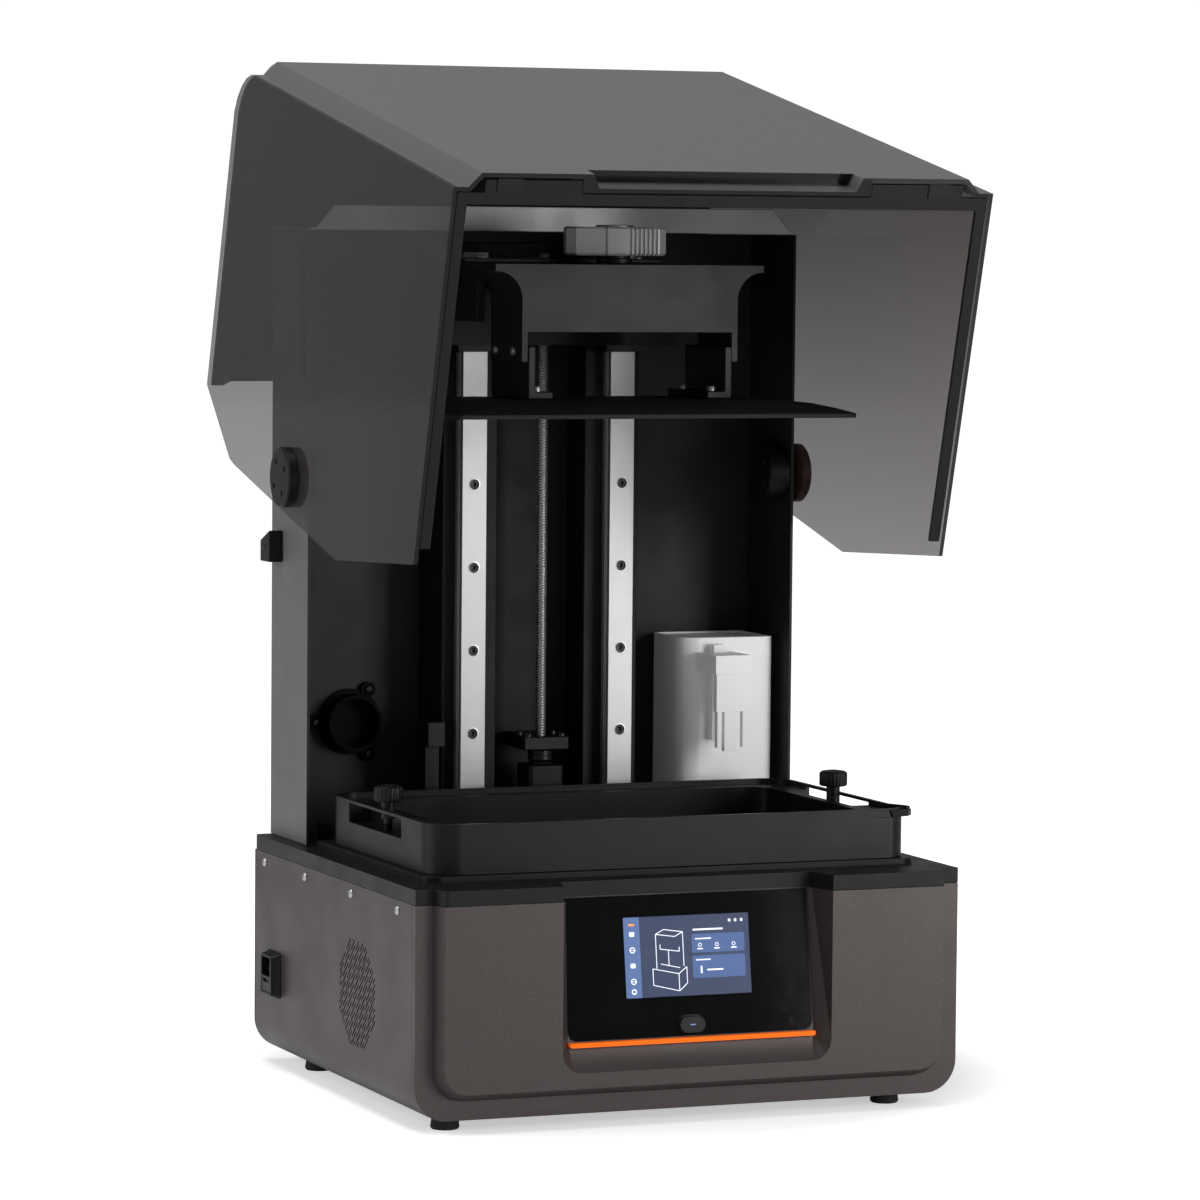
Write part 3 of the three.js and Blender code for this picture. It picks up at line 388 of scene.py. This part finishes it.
def finish_mesh(obj, bevel, crease, segments=2):
    """Smooth shading with sharp edges above the crease angle, and rounded edges if there is a bevel."""
    mesh = obj.data
    mesh.shade_smooth()
    mesh.set_sharp_from_angle(angle=math.radians(crease))
    if bevel:
        edge = obj.modifiers.new("edge", "BEVEL")
        edge.width = bevel * MM
        edge.segments = segments
        edge.limit_method = "ANGLE"
        edge.angle_limit = math.radians(crease)
        edge.use_clamp_overlap = True
        edge.miter_outer = "MITER_ARC"
        even = obj.modifiers.new("even", "WEIGHTED_NORMAL")
        even.keep_sharp = True


def piece(name, solid, look, body, replaces=(), bevel=0.0, crease=35, lid=False):
    """Turns gathered shapes into a named object that rides on a body."""
    obj = in_place(solid, name, lid)
    obj.data.materials.append(LOOK[look])
    finish_mesh(obj, bevel, crease)
    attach(obj, body)
    if replaces:
        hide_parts(*replaces)
    return obj


def refined(node, look, bevel, segments=2, crease=32, inner=None):
    """A node's own shape with its edges broken, in place of the plain node.

    inner is a second look and a test that picks the faces that get it.
    """
    source = frame["nodes"][node]
    body = body_of(source)[0]
    bm = bmesh.new()
    bm.from_mesh(source.data)
    bmesh.ops.remove_doubles(bm, verts=bm.verts, dist=1e-6)
    bmesh.ops.dissolve_limit(bm, angle_limit=math.radians(0.6), verts=bm.verts, edges=bm.edges)
    obj = linked(bm, node + "_finished")
    mesh = obj.data
    mesh.materials.append(LOOK[look])
    if inner:
        mesh.materials.append(LOOK[inner[0]])
        for polygon in mesh.polygons:
            polygon.material_index = int(inner[1](polygon))
    finish_mesh(obj, bevel, crease, segments)
    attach(obj, body)
    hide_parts(node)
    return obj


def mirrored(points):
    """Each point once for the left side (-1) and once for the right (1)."""
    return [(side, *point) for side in (-1, 1) for point in points]


# ------------------------------------------------------------------ base


def vent_cutters(solid, side):
    """Slots at a slant in staggered rows, trimmed to an octagon on one side wall."""
    reach, corner = 36.5, 0.7
    length, gap, pitch, width = 15.5, 4.4, 2.95, 1.3
    ticks, shortest = 31, 1.5
    slant = Vector((math.cos(math.radians(-45)), math.sin(math.radians(-45))))
    across = Vector((slant.y, -slant.x))

    def inside(point):
        return max(abs(point.x), abs(point.y), (abs(point.x) + abs(point.y)) * corner) < reach

    for row in range(-18, 19):
        shift = (row % 3) * (length + gap) / 3
        for step in range(-4, 5):
            start = None
            for tick in range(ticks + 1):
                along = step * (length + gap) + shift + tick * length / ticks
                point = slant * along + across * (row * pitch)
                if inside(point):
                    start = start or point.copy()
                    end = point.copy()
            if start is None or (end - start).length < shortest:
                continue
            edge = across * (width / 2)
            outline = [start - edge, end - edge, end + edge, start + edge]
            place = [(VENT_Y + p.x, VENT_Z + p.y) for p in outline]
            low, high = sorted((side * (BASE_HALF - 3), side * (BASE_HALF + 1)))
            solid.prism("X", place, low, high)


def cut_with(obj, solid):
    """Cuts the gathered shapes out of an object for good."""
    cutter = in_place(solid, "cutter")
    boolean = obj.modifiers.new("cut", "BOOLEAN")
    boolean.operation = "DIFFERENCE"
    boolean.solver = "EXACT"
    boolean.object = cutter
    bpy.context.view_layer.update()
    evaluated = obj.evaluated_get(bpy.context.evaluated_depsgraph_get())
    obj.data = bpy.data.meshes.new_from_object(evaluated)
    obj.modifiers.clear()
    bpy.data.objects.remove(cutter)


def make_base():
    radius, steps = 23, 10
    lower = 2 * (steps + 1)  # points of the two lower corners
    inner_half, inner_radius = BASE_HALF - WRAP_WALL, radius - WRAP_WALL
    outer = rounded(-BASE_HALF, BASE_HALF, 0, WRAP_TOP, (radius, radius, 0, 0), steps)
    inner = rounded(-inner_half, inner_half, WRAP_WALL, WRAP_TOP, (inner_radius, inner_radius, 0, 0), steps)
    # an open-topped wrap: down the left side, under, up the right side and back along the inside
    under = [(-BASE_HALF, WRAP_TOP)] + outer[:lower] + [(BASE_HALF, WRAP_TOP)]
    back = [(inner_half, WRAP_TOP)] + inner[:lower][::-1] + [(-inner_half, WRAP_TOP)]
    wrap = Solid()
    wrap.prism("Y", under + back, WRAP_FRONT, WRAP_BACK)
    obj = piece("base_wrap", wrap, "housing", "frame", ["base_housing"], crease=30)
    cutters = Solid()
    for side in (-1, 1):
        vent_cutters(cutters, side)
    cutters.box(-BASE_HALF - 1, -BASE_HALF + 3, *INLET_OPENING)
    cut_with(obj, cutters)
    refined("front_panel", "housing", 1.1, 3)
    refined("base_back_panel", "housing", 0.0)
    for place in ("front_left", "front_right", "rear_left", "rear_right"):
        refined(f"foot_{place}", "rubber", 0.3, crease=50)
    screws = Solid()
    for side, y in mirrored([(35,), (128.5,), (226,), (315,)]):
        screws.screw("X", y, 138.4, side * BASE_HALF, side, 3.1, 1.5)
    for x in (-188, 0, 188):
        screws.screw("Y", x, 137, BASE_DEPTH, 1, 2.8, 0.9)
        screws.screw("Y", x, 12 if x == 0 else 24, BASE_DEPTH, 1, 2.8, 0.9)
    for u in (-1, 1):
        for v in (-1, 1):
            screws.screw("Y", FAN_X + u * 36, FAN_Z + v * 36, BASE_DEPTH, 1, 2.4, 0.9)
    piece("base_screws", screws, "raw", "frame")


GLASS_Y, GLASS_Z, GLASS_LEAN = -4, 48.8, 0.155  # foot of the glass, and how far it leans back per mm
LAYER = 0.06  # thickness of a mark on the display


def glass_y(z):
    return GLASS_Y + GLASS_LEAN * (z - GLASS_Z)


def on_glass(outline, behind, thick):
    """Rings of a thin slab that lies along the tilted screen, behind its front by some depth."""
    return [[(x, glass_y(z) + behind + d, z) for x, z in outline] for d in (0, thick)]


def bar(solid, x0, x1, z0, z1, radius, behind, thick=LAYER):
    """A rectangle with rounded corners on the display."""
    radius = min(radius, (x1 - x0) / 2.01, (z1 - z0) / 2.01)
    solid.loft(on_glass(rounded(x0, x1, z0, z1, radius, 4), behind, thick))


def stroke(solid, x0, z0, x1, z1, width, behind):
    """A straight line of some width on the display."""
    along = Vector((x1 - x0, z1 - z0)).normalized()
    side = Vector((-along.y, along.x)) * width / 2
    ends = [(x0 - side.x, z0 - side.y), (x1 - side.x, z1 - side.y),
            (x1 + side.x, z1 + side.y), (x0 + side.x, z0 + side.y)]
    solid.loft(on_glass(ends, behind, LAYER))


def ring(solid, x, z, radius, width, behind, sides=20):
    """A circle's outline of some width on the display."""
    turns = [2 * math.pi * k / sides for k in range(sides)]
    rings = []
    for r, d in ((radius, 0), (radius, LAYER), (radius - width, LAYER), (radius - width, 0)):
        circle = [(x + r * math.cos(a), z + r * math.sin(a)) for a in turns]
        rings.append([(u, glass_y(w) + behind + d, w) for u, w in circle])
    solid.loft(rings, capped=False)


# a plain line drawing of the printer, as straight strokes
DRAWING = (
    ((-26, 84), (-7, 79.5)), ((-7, 79.5), (-1, 84.5)), ((-26, 84), (-26, 95)), ((-7, 79.5), (-7, 91)),
    ((-1, 84.5), (-1, 95.5)), ((-26, 95), (-7, 91)), ((-7, 91), (-1, 95.5)), ((-23, 95), (-23, 118)),
    ((-23, 118), (-9, 116)), ((-9, 116), (-3, 119)), ((-3, 119), (-3, 96)), ((-23, 118), (-17, 121)),
    ((-17, 121), (-3, 119)), ((-20, 108), (-6, 106)), ((-20, 108), (-20, 111)), ((-6, 106), (-6, 109)),
    ((-20, 98), (-6, 95)), ((-14, 107), (-14, 96.5)),
)


def make_screen():
    refined("screen_glass", "glass", 0.35)
    refined("accent_strip", "orange", 0.3)
    refined("power_button", "plastic", 0.45)
    icon = Solid()
    bar(icon, -2.2, 2.2, 56.7, 57.5, 0.3, -0.64, 0.05)
    piece("power_button_mark", icon, "ui_bar", "power_button")
    window = rounded(*DISPLAY, 0.6, 2)
    border = rounded(-90.2, 90.2, 49.2, 144.8, (5.6, 5.6, 0.4, 0.4), 2)
    near, far = 3.02, 3.14
    back_print = Solid()
    lines = ((border, near), (border, far), (window, far), (window, near))
    back_print.loft([[(x, glass_y(z) + d, z) for x, z in line] for line, d in lines], capped=False)
    cover = piece("screen_print", back_print, "print", "frame")
    hole = Solid()
    hole.prism("Y", rounded(-9.9, 9.9, 51, 63.2, 6.0), -10, 12)
    cut_with(cover, hole)
    refined("display_module", "print", 0.2)
    ground, side, cards, white, accent = (Solid() for _ in range(5))
    lit, step = 3.22, 0.08  # the ground's depth behind the glass, and each layer's lead on the one below
    left, _, bottom, top = DISPLAY
    bar(ground, *DISPLAY, 0.5, lit)
    bar(side, left, -34.6, bottom, top, 0.5, lit - step)
    for low, high in ((104.5, 117), (87.5, 102.5)):
        bar(cards, 3.5, 42.5, low, high, 1.2, lit - step)
    level = lit - 2 * step
    for k, z in enumerate((118.5, 108, 97.5, 87)):
        if k % 2:
            ring(white, -40.4, z, 2.1, 0.7, level)
            stroke(white, -42.6, z, -38.2, z, 0.5, level)
        else:
            bar(white, -42.3, -38.5, z - 1.5, z + 1.7, 0.8, level)
    ring(white, -40.4, 80.2, 2.0, 0.9, level, 8)
    bar(accent, -42.6, -38.2, 124.2, 125.6, 0.5, level)
    for x in (32, 36.5, 41):
        bar(white, x - 0.9, x + 0.9, 124.4, 126.4, 0.5, level)
    bar(white, 4.5, 27, 119.4, 120.6, 0.5, level)
    bar(white, 6, 18, 113.4, 114.3, 0.4, level)
    for x in (9.5, 22, 34.5):
        bar(white, x - 2.1, x + 2.1, 106.6, 107.5, 0.3, level)
        ring(white, x, 109.6, 1.5, 0.5, level, 6)
    bar(white, 6, 17, 99.2, 100.1, 0.4, level)
    bar(white, 9.2, 10.5, 90.5, 95.6, 0.6, level)
    bar(white, 14, 26, 92.2, 93.3, 0.4, level)
    for (x0, z0), (x1, z1) in DRAWING:
        stroke(white, x0, z0, x1, z1, 0.55, level)
    for name, solid, look in (("ui_ground", ground, "ui_ground"), ("ui_side_bar", side, "ui_bar"),
                              ("ui_cards", cards, "ui_card"), ("ui_marks", white, "ui_white"),
                              ("ui_alert", accent, "ui_accent")):
        piece(name, solid, look, "frame")


def make_deck():
    refined("deck_plate", "deck", 1.0, 3)
    refined("mask_screen", "mask", 0.3)
    refined("power_inlet", "plastic", 0.2)
    refined("fuse_drawer", "plastic", 0.25)


def make_inside():
    refined("uv_light_box", "raw", 0.3)
    refined("heat_sink", "raw", 0.2)
    refined("power_supply", "raw", 0.8)
    refined("control_board", "board", 0.2)
    refined("cooling_fan_frame", "plastic", 0.5)
    refined("cooling_fan_rotor", "plastic", 0.3)


# ------------------------------------------------------------------ column


def make_column():
    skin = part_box("column_shell")

    def shaded_inner_face(polygon):
        """Faces of the sheet that look into the column, which get a darker copy of its grey as painted shade.
        """
        return abs(polygon.center.x) < skin[1].x - MM and polygon.center.y < skin[1].y - MM

    refined("column_shell", "grey_sheet", 0.45, inner=("shaded_inner_sheet", shaded_inner_face))
    refined("column_hood", "hood", 0.5)
    for side in ("left", "right"):
        refined(f"lid_guide_block_{side}", "plastic", 0.7)
    refined("duct_port", "print", 0.5)
    strips = Solid()
    screws = Solid()
    for side in (-1, 1):
        low, high = sorted((side * 188.4, side * 190.0))
        strips.prism("X", rounded(262, 271, 489, 587, 2), low, high)
        screws.screw("X", 323, 366, side * 198.8, side, 2.4, 0.9)
    piece("column_wear_strips", strips, "beam", "frame", bevel=0.3)
    flanges = Solid()
    for low, high in ((-186, -77), (77, 186)):
        flanges.box(low, high, 334.4, 335.7, 156.45, 170)
    flanges.box(-166, -158, 290, 299, 156.6, 168)
    flanges.box(-163.5, -160.5, 288.6, 290.4, 158, 166)
    # the foot flanges take the column inside's painted shade
    piece("column_foot_flanges", flanges, "shaded_inner_sheet", "frame", bevel=0.3)
    for degrees in (60, 180, 300):
        turn = math.radians(degrees)
        screws.screw("Y", DUCT_X + 27 * math.cos(turn), DUCT_Z + 27 * math.sin(turn), 331.6, -1, 3.0, 2.0)
    piece("column_screws", screws, "black_screw", "frame")
    filter_face = Solid()
    disc = [(17.7, 334.9), (17.7, 335.6), (0.02, 335.6), (0.02, 334.9)]
    filter_face.lathe("Y", DUCT_X, DUCT_Z, disc, 40, False)
    piece("duct_filter_face", filter_face, "print", "frame", crease=40)


def make_drive():
    refined("z_frame", "black_sheet", 0.8)
    screws, rings = Solid(), Solid()
    for side in ("left", "right"):
        refined(f"z_rail_{side}", "steel", 0.35)
    edge = [(3.7, 271.3), (4.4, 271.4), (4.4, 271.7), (3.7, 271.7)]
    for x in (-RAIL_X, RAIL_X):
        for step in range(RAIL_HOLES):
            z = LOWEST_RAIL_HOLE + RAIL_PITCH * step
            screws.cap_screw("Y", x, z, 275.4, -1, 3.45, 2.8)
            rings.lathe("Y", x, z, edge, 24, False)
    piece("rail_screw_rings", rings, "raw", "frame")
    for x, y in ((-13, 275), (13, 275), (-13, 293), (13, 293)):
        screws.cap_screw("Z", x, y, 227.4, 1, 2.6, 2.6)
    piece("drive_screws", screws, "black_screw", "frame")
    refined("z_motor", "plastic", 1.0)
    refined("screw_bearing", "plastic", 0.8)
    refined("limit_switch", "plastic", 0.6)
    make_lead_screw()


def make_lead_screw():
    """Four-start trapezoid thread: the crest's place turns as it climbs."""
    starts, sides, pitch, step = 4, 28, 2.0, 0.4
    root, depth, steepness = 2.9, 1.05, 7.6
    low, high = 217.6, 578.0
    solid = Solid()
    rings = []
    rows = int((high - low) / step)
    for row in range(rows + 1):
        z = low + (high - low) * row / rows
        points = []
        for k in range(sides):
            turn = 2 * math.pi * k / sides
            wave = ((z / pitch) - turn * starts / (2 * math.pi)) % 1.0
            crest = min(1.0, max(0.0, steepness / 4 - abs(wave - 0.5) * steepness))
            radius = root + depth * crest
            points.append((radius * math.cos(turn), SCREW_Y + radius * math.sin(turn), z))
        rings.append(points)
    solid.loft(rings)
    piece("lead_screw_thread", solid, "raw", "lead_screw", ["lead_screw"], crease=60)
    coupler = Solid()
    profile = [(8.2, 209.7), (9, 210.4), (9, 213.2), (8.4, 213.4),
               (8.4, 213.9), (9, 214.1), (9, 216.9), (8.2, 217.6)]
    coupler.lathe("Z", 0, SCREW_Y, profile, 40)
    piece("screw_coupler", coupler, "black_screw", "lead_screw", crease=30)


# ------------------------------------------------------------------ carriage and platform


def make_carriage():
    for side in ("left", "right"):
        refined(f"carriage_block_{side}", "plastic", 0.6)
        refined(f"arm_{side}", "beam", 0.7)
    refined("carriage_plate", "black_sheet", 0.8)
    refined("lead_nut", "white", 0.4)
    refined("arm_top_plate", "beam", 0.7)
    screws = Solid()
    for x in (-80, 38):
        screws.screw("Z", x, 200, 574.6, 1, 3.4, 2.0)
    piece("arm_screws", screws, "screw_steel", "carriage")


def make_platform():
    refined("platform_housing", "beam", 0.8, 3)
    for side in ("left", "right"):
        refined(f"platform_hanger_{side}", "beam", 0.7)
    refined("build_plate", "plate", 0.5, crease=20)
    bolts = Solid()
    for side, x, y in mirrored([(66, 130), (66, 180)]):
        bolts.cap_screw("Z", side * x, y, 482.8, 1, 3.4, 3.4)
    for side, y in mirrored([(135,), (169,)]):
        bolts.screw("X", y, 510.5, side * 81, side, 3.3, 2.0)
    piece("platform_bolts", bolts, "screw_steel", "platform")
    make_knob()


def knob_outline():
    """Long angular grip with seven finger grooves along half of each flank."""
    waist, widest, taper, groove_depth, groove_pitch = 7.0, 15.5, 0.12, 1.3, 3.1
    grooved = [(waist, widest)]
    for groove in range(7):
        for step, depth in ((0.0, 0.0), (0.5, groove_depth), (1.5, groove_depth), (2.0, 0.0)):
            along = 8.0 + groove * groove_pitch + step
            grooved.append((along, widest - (along - waist) * taper - depth))
    grooved += [(30.0, 12.6), (35.2, 6.5)]
    plain = [(35.2, 6.5), (29.0, 12.6), (8.5, 14.2), (waist, widest)]
    right = [(x, -y) for x, y in grooved] + plain
    return right + [(-x, -y) for x, y in right]


def make_knob():
    """Angular hand grip on a round neck."""
    turn = math.radians(-14)
    cos, sin = math.cos(turn), math.sin(turn)
    low, high = 577.0, 597.0

    def placed(scale, z):
        points = [(x * scale, y * scale) for x, y in knob_outline()]
        return [(x * cos - y * sin, KNOB_Y + x * sin + y * cos, z) for x, y in points]

    solid = Solid()
    levels = ((0.95, low), (1.0, low + 1.5), (1.0, high - 1.4), (0.95, high))
    solid.loft([placed(scale, z) for scale, z in levels])
    cap = [(13.2, high - 0.5), (13.2, high + 0.9), (12.4, high + 1.4), (2, high + 1.4)]
    solid.lathe("Z", 0, KNOB_Y, cap, 48)
    piece("clamp_knob_moulding", solid, "knob", "clamp_knob", ["clamp_knob"], crease=25)
    neck = Solid()
    collar = [(11.8, 571.3), (12.5, 571.9), (12.5, 574.8), (11.0, 575.4), (11.0, 577.4)]
    neck.lathe("Z", 0, KNOB_Y, collar, 40)
    neck.lathe("Z", 0, KNOB_Y, [(5, 564.9), (5, 571.6)], 24)
    piece("clamp_knob_neck", neck, "plastic", "clamp_knob", crease=32)


# ------------------------------------------------------------------ vat and feed


def make_vat():
    refined("vat_body", "vat", 0.9, 3)
    refined("release_film", "film", 0.0)
    refined("film_frame", "raw", 0.2)
    level = Solid()
    level.box(-14, 14, 229.3, 229.9, 186.2, 186.7)
    level.box(-3, 3, 229.3, 229.9, 188.2, 188.7)
    piece("vat_level_mark", level, "beam", "vat")
    for side, name in ((-1, "left"), (1, "right")):
        make_thumb_screw(side * THUMB_X, name)


def make_thumb_screw(x, name):
    """Knurled head, smooth neck and a threaded stem."""
    top, head_radius, groove, sides = 211.0, 10, 0.45, 96
    head = ((0.9, 200.0, 0), (1.0, 200.9, 1), (1.0, 208.8, 1), (0.95, 209.8, 0),
            (0.82, 210.6, 0), (0.6, top, 0), (0.35, top, 0), (0.3, top - 1.4, 0))
    rings = []
    for scale, z, knurl in head:
        points = []
        for k in range(sides):
            angle = 2 * math.pi * k / sides
            radius = head_radius * scale - knurl * (groove if k % 4 < 2 else 0.0)
            points.append((x + radius * math.cos(angle), THUMB_Y + radius * math.sin(angle), z))
        rings.append(points)
    solid = Solid()
    solid.loft(rings)
    solid.lathe("Z", x, THUMB_Y, [(4.8, 188), (4.8, 200.1)], 32)
    thread = [(3.0 if k % 2 else 2.6, 148.5 + k * 0.4) for k in range(92)]
    solid.lathe("Z", x, THUMB_Y, [(2.4, 148)] + thread + [(3, 188.1)], 20)
    piece(f"thumb_screw_{name}_knurled", solid, "plastic", f"thumb_screw_{name}",
          [f"thumb_screw_{name}"], crease=40)


def make_feed():
    refined("feed_tank", "white", 2.2, 4, crease=40)
    refined("feed_tap", "white", 0.8, 3)


# ------------------------------------------------------------------ lid


def make_lid():
    def darkened_forward_face(polygon):
        """Faces that look forward with the lid open, the moulding's cut edges and its inside; the near-black
        rim look on them is partly the trim's own colour and, on the inside, painted shade.
        """
        return polygon.normal.y < -0.4

    refined("lid_shell", "lid", 1.0, 3, crease=28, inner=("rim", darkened_forward_face))
    for side in ("left", "right"):
        refined(f"lid_side_{side}", f"lid_side_{side}", 0.5, crease=28, inner=("rim", darkened_forward_face))
        refined(f"hinge_disc_{side}", "plastic", 0.4)
        refined(f"hinge_hub_{side}", "plastic", 0.4)
    refined("lid_rim", "rim", 0.6)
    magnets = Solid()
    for side in (-1, 1):
        low, high = sorted((side * 146.7, side * 164.5))
        magnets.prism("Z", rounded(low, high, -12.5, -2.2, 1.0, 3), 157.3, 158.1)
    piece("lid_magnets", magnets, "plastic", "lid", lid=True, bevel=0.2)
    bolts, hub_bolts = Solid(), Solid()
    for side in (-1, 1):
        for degrees in (45, 135, 225, 315):
            turn = math.radians(degrees)
            y, z = HINGE_Y + 13 * math.cos(turn), HINGE_Z + 13 * math.sin(turn)
            bolts.cap_screw("X", y, z, side * 200.9, side, 2.45, 1.6)
            y, z = HINGE_Y + 12 * math.cos(turn), HINGE_Z + 12 * math.sin(turn)
            hub_bolts.cap_screw("X", y, z, side * HUB_FACE, -side, 2.4, 1.2)
        hub_bolts.cap_screw("X", HINGE_Y, HINGE_Z, side * HUB_FACE, -side, 3.2, 1.2)
    piece("hinge_disc_bolts", bolts, "black_screw", "lid", lid=True)
    piece("hinge_hub_bolts", hub_bolts, "black_screw", "frame")


# ------------------------------------------------------------------ stage


def area_light(name, location, target, size, power):
    light = bpy.data.lights.new(name, "AREA")
    light.shape = "RECTANGLE"
    light.size, light.size_y = size
    light.energy = power
    obj = bpy.data.objects.new(name, light)
    obj.location = location
    obj.rotation_mode = "QUATERNION"
    obj.rotation_quaternion = (Vector(target) - Vector(location)).to_track_quat("-Z", "Y")
    bpy.context.scene.collection.objects.link(obj)


WORLD_LIGHT = 0.25  # what the white surroundings give as light
WORLD_SEEN = 1.05  # and how bright they look
FLOOR_GLOW = 0.85
FLOOR_BOUNCE = 0.15  # share of the glow that reaches the printer
PAINTED_SHADOW_GLOW = 0.5  # under and beside the base, lower so that it keeps its shadow: a painted shadow round the base
NEAR_REACH, FAR_REACH = 0.27, 0.34  # metres from the middle between which the glow rises
FLOOR_REACH = 14.0


def make_stage():
    floor = bpy.data.meshes.new("floor")
    corners = [(x * FLOOR_REACH, y * FLOOR_REACH, 0) for x, y in ((-1, -1), (1, -1), (1, 1), (-1, 1))]
    floor.from_pydata(corners, [], [(0, 1, 2, 3)])
    obj = bpy.data.objects.new("floor", floor)
    bpy.context.scene.collection.objects.link(obj)
    s = Shader("floor_paper")
    s.set(Roughness=0.9, Emission_Color=(1, 1, 1, 1))
    distance = s.nodes.new("ShaderNodeVectorMath")
    distance.operation = "LENGTH"
    s.links.new(s.place, distance.inputs[0])
    # the glow is lower near the middle: a painted shadow round the base
    glow = s.spread(distance.outputs["Value"], PAINTED_SHADOW_GLOW, FLOOR_GLOW, NEAR_REACH, FAR_REACH)
    dimmed = s.nodes.new("ShaderNodeMath")
    dimmed.operation = "MULTIPLY"
    s.links.new(glow, dimmed.inputs[0])
    seen_floor = s.nodes.new("ShaderNodeLightPath").outputs["Is Camera Ray"]
    s.links.new(s.spread(seen_floor, FLOOR_BOUNCE, 1.0, 0.0, 1.0), dimmed.inputs[1])
    s.feed(dimmed.outputs["Value"], "Emission Strength")
    s.feed(s.colours(s.noise(2, 2), [(0.3, (0.89, 0.89, 0.89)), (0.7, (0.91, 0.91, 0.91))]), "Base Color")
    floor.materials.append(s.material)
    world = bpy.data.worlds.new("studio")
    world.use_nodes = True
    nodes, links = world.node_tree.nodes, world.node_tree.links
    nodes["Background"].inputs["Color"].default_value = (1, 1, 1, 1)
    seen = nodes.new("ShaderNodeMapRange")
    seen.inputs["To Min"].default_value = WORLD_LIGHT
    seen.inputs["To Max"].default_value = WORLD_SEEN
    links.new(nodes.new("ShaderNodeLightPath").outputs["Is Camera Ray"], seen.inputs["Value"])
    links.new(seen.outputs["Result"], nodes["Background"].inputs["Strength"])
    bpy.context.scene.world = world
    area_light("left", (-1.7, 0.15, 0.75), (0, 0.1, 0.35), (0.9, 1.3), 9)
    area_light("right_front", (1.35, -2.1, 0.6), (0.05, 0, 0.35), (0.8, 1.4), 30)
    area_light("top", (-0.5, -0.1, 2.3), (0, 0, 0.4), (1.2, 1.0), 26)


def make_camera():
    """Long lens from the front left, a little above the middle and looking slightly down."""
    azimuth, elevation, roll = math.radians(-22.186), math.radians(4.032), math.radians(0.525)
    level = math.cos(elevation)
    back = Vector((math.sin(azimuth) * level, -math.cos(azimuth) * level, math.sin(elevation)))
    data = bpy.data.cameras.new("camera")
    data.sensor_width = 36
    data.lens = 154.1
    data.clip_start, data.clip_end = 0.05, 100
    camera = bpy.data.objects.new("camera", data)
    camera.location = at(-1367.0, -3180.9, 589.2)
    camera.rotation_mode = "QUATERNION"
    aim = (-back).to_track_quat("-Z", "Y")
    camera.rotation_quaternion = aim @ Matrix.Rotation(roll, 3, "Z").to_quaternion()
    bpy.context.scene.collection.objects.link(camera)
    bpy.context.scene.camera = camera


make_camera()
make_stage()
make_base()
make_screen()
make_deck()
make_inside()
make_column()
make_drive()
make_carriage()
make_platform()
make_vat()
make_feed()
make_lid()
bpy.context.scene.view_settings.view_transform = "Standard"
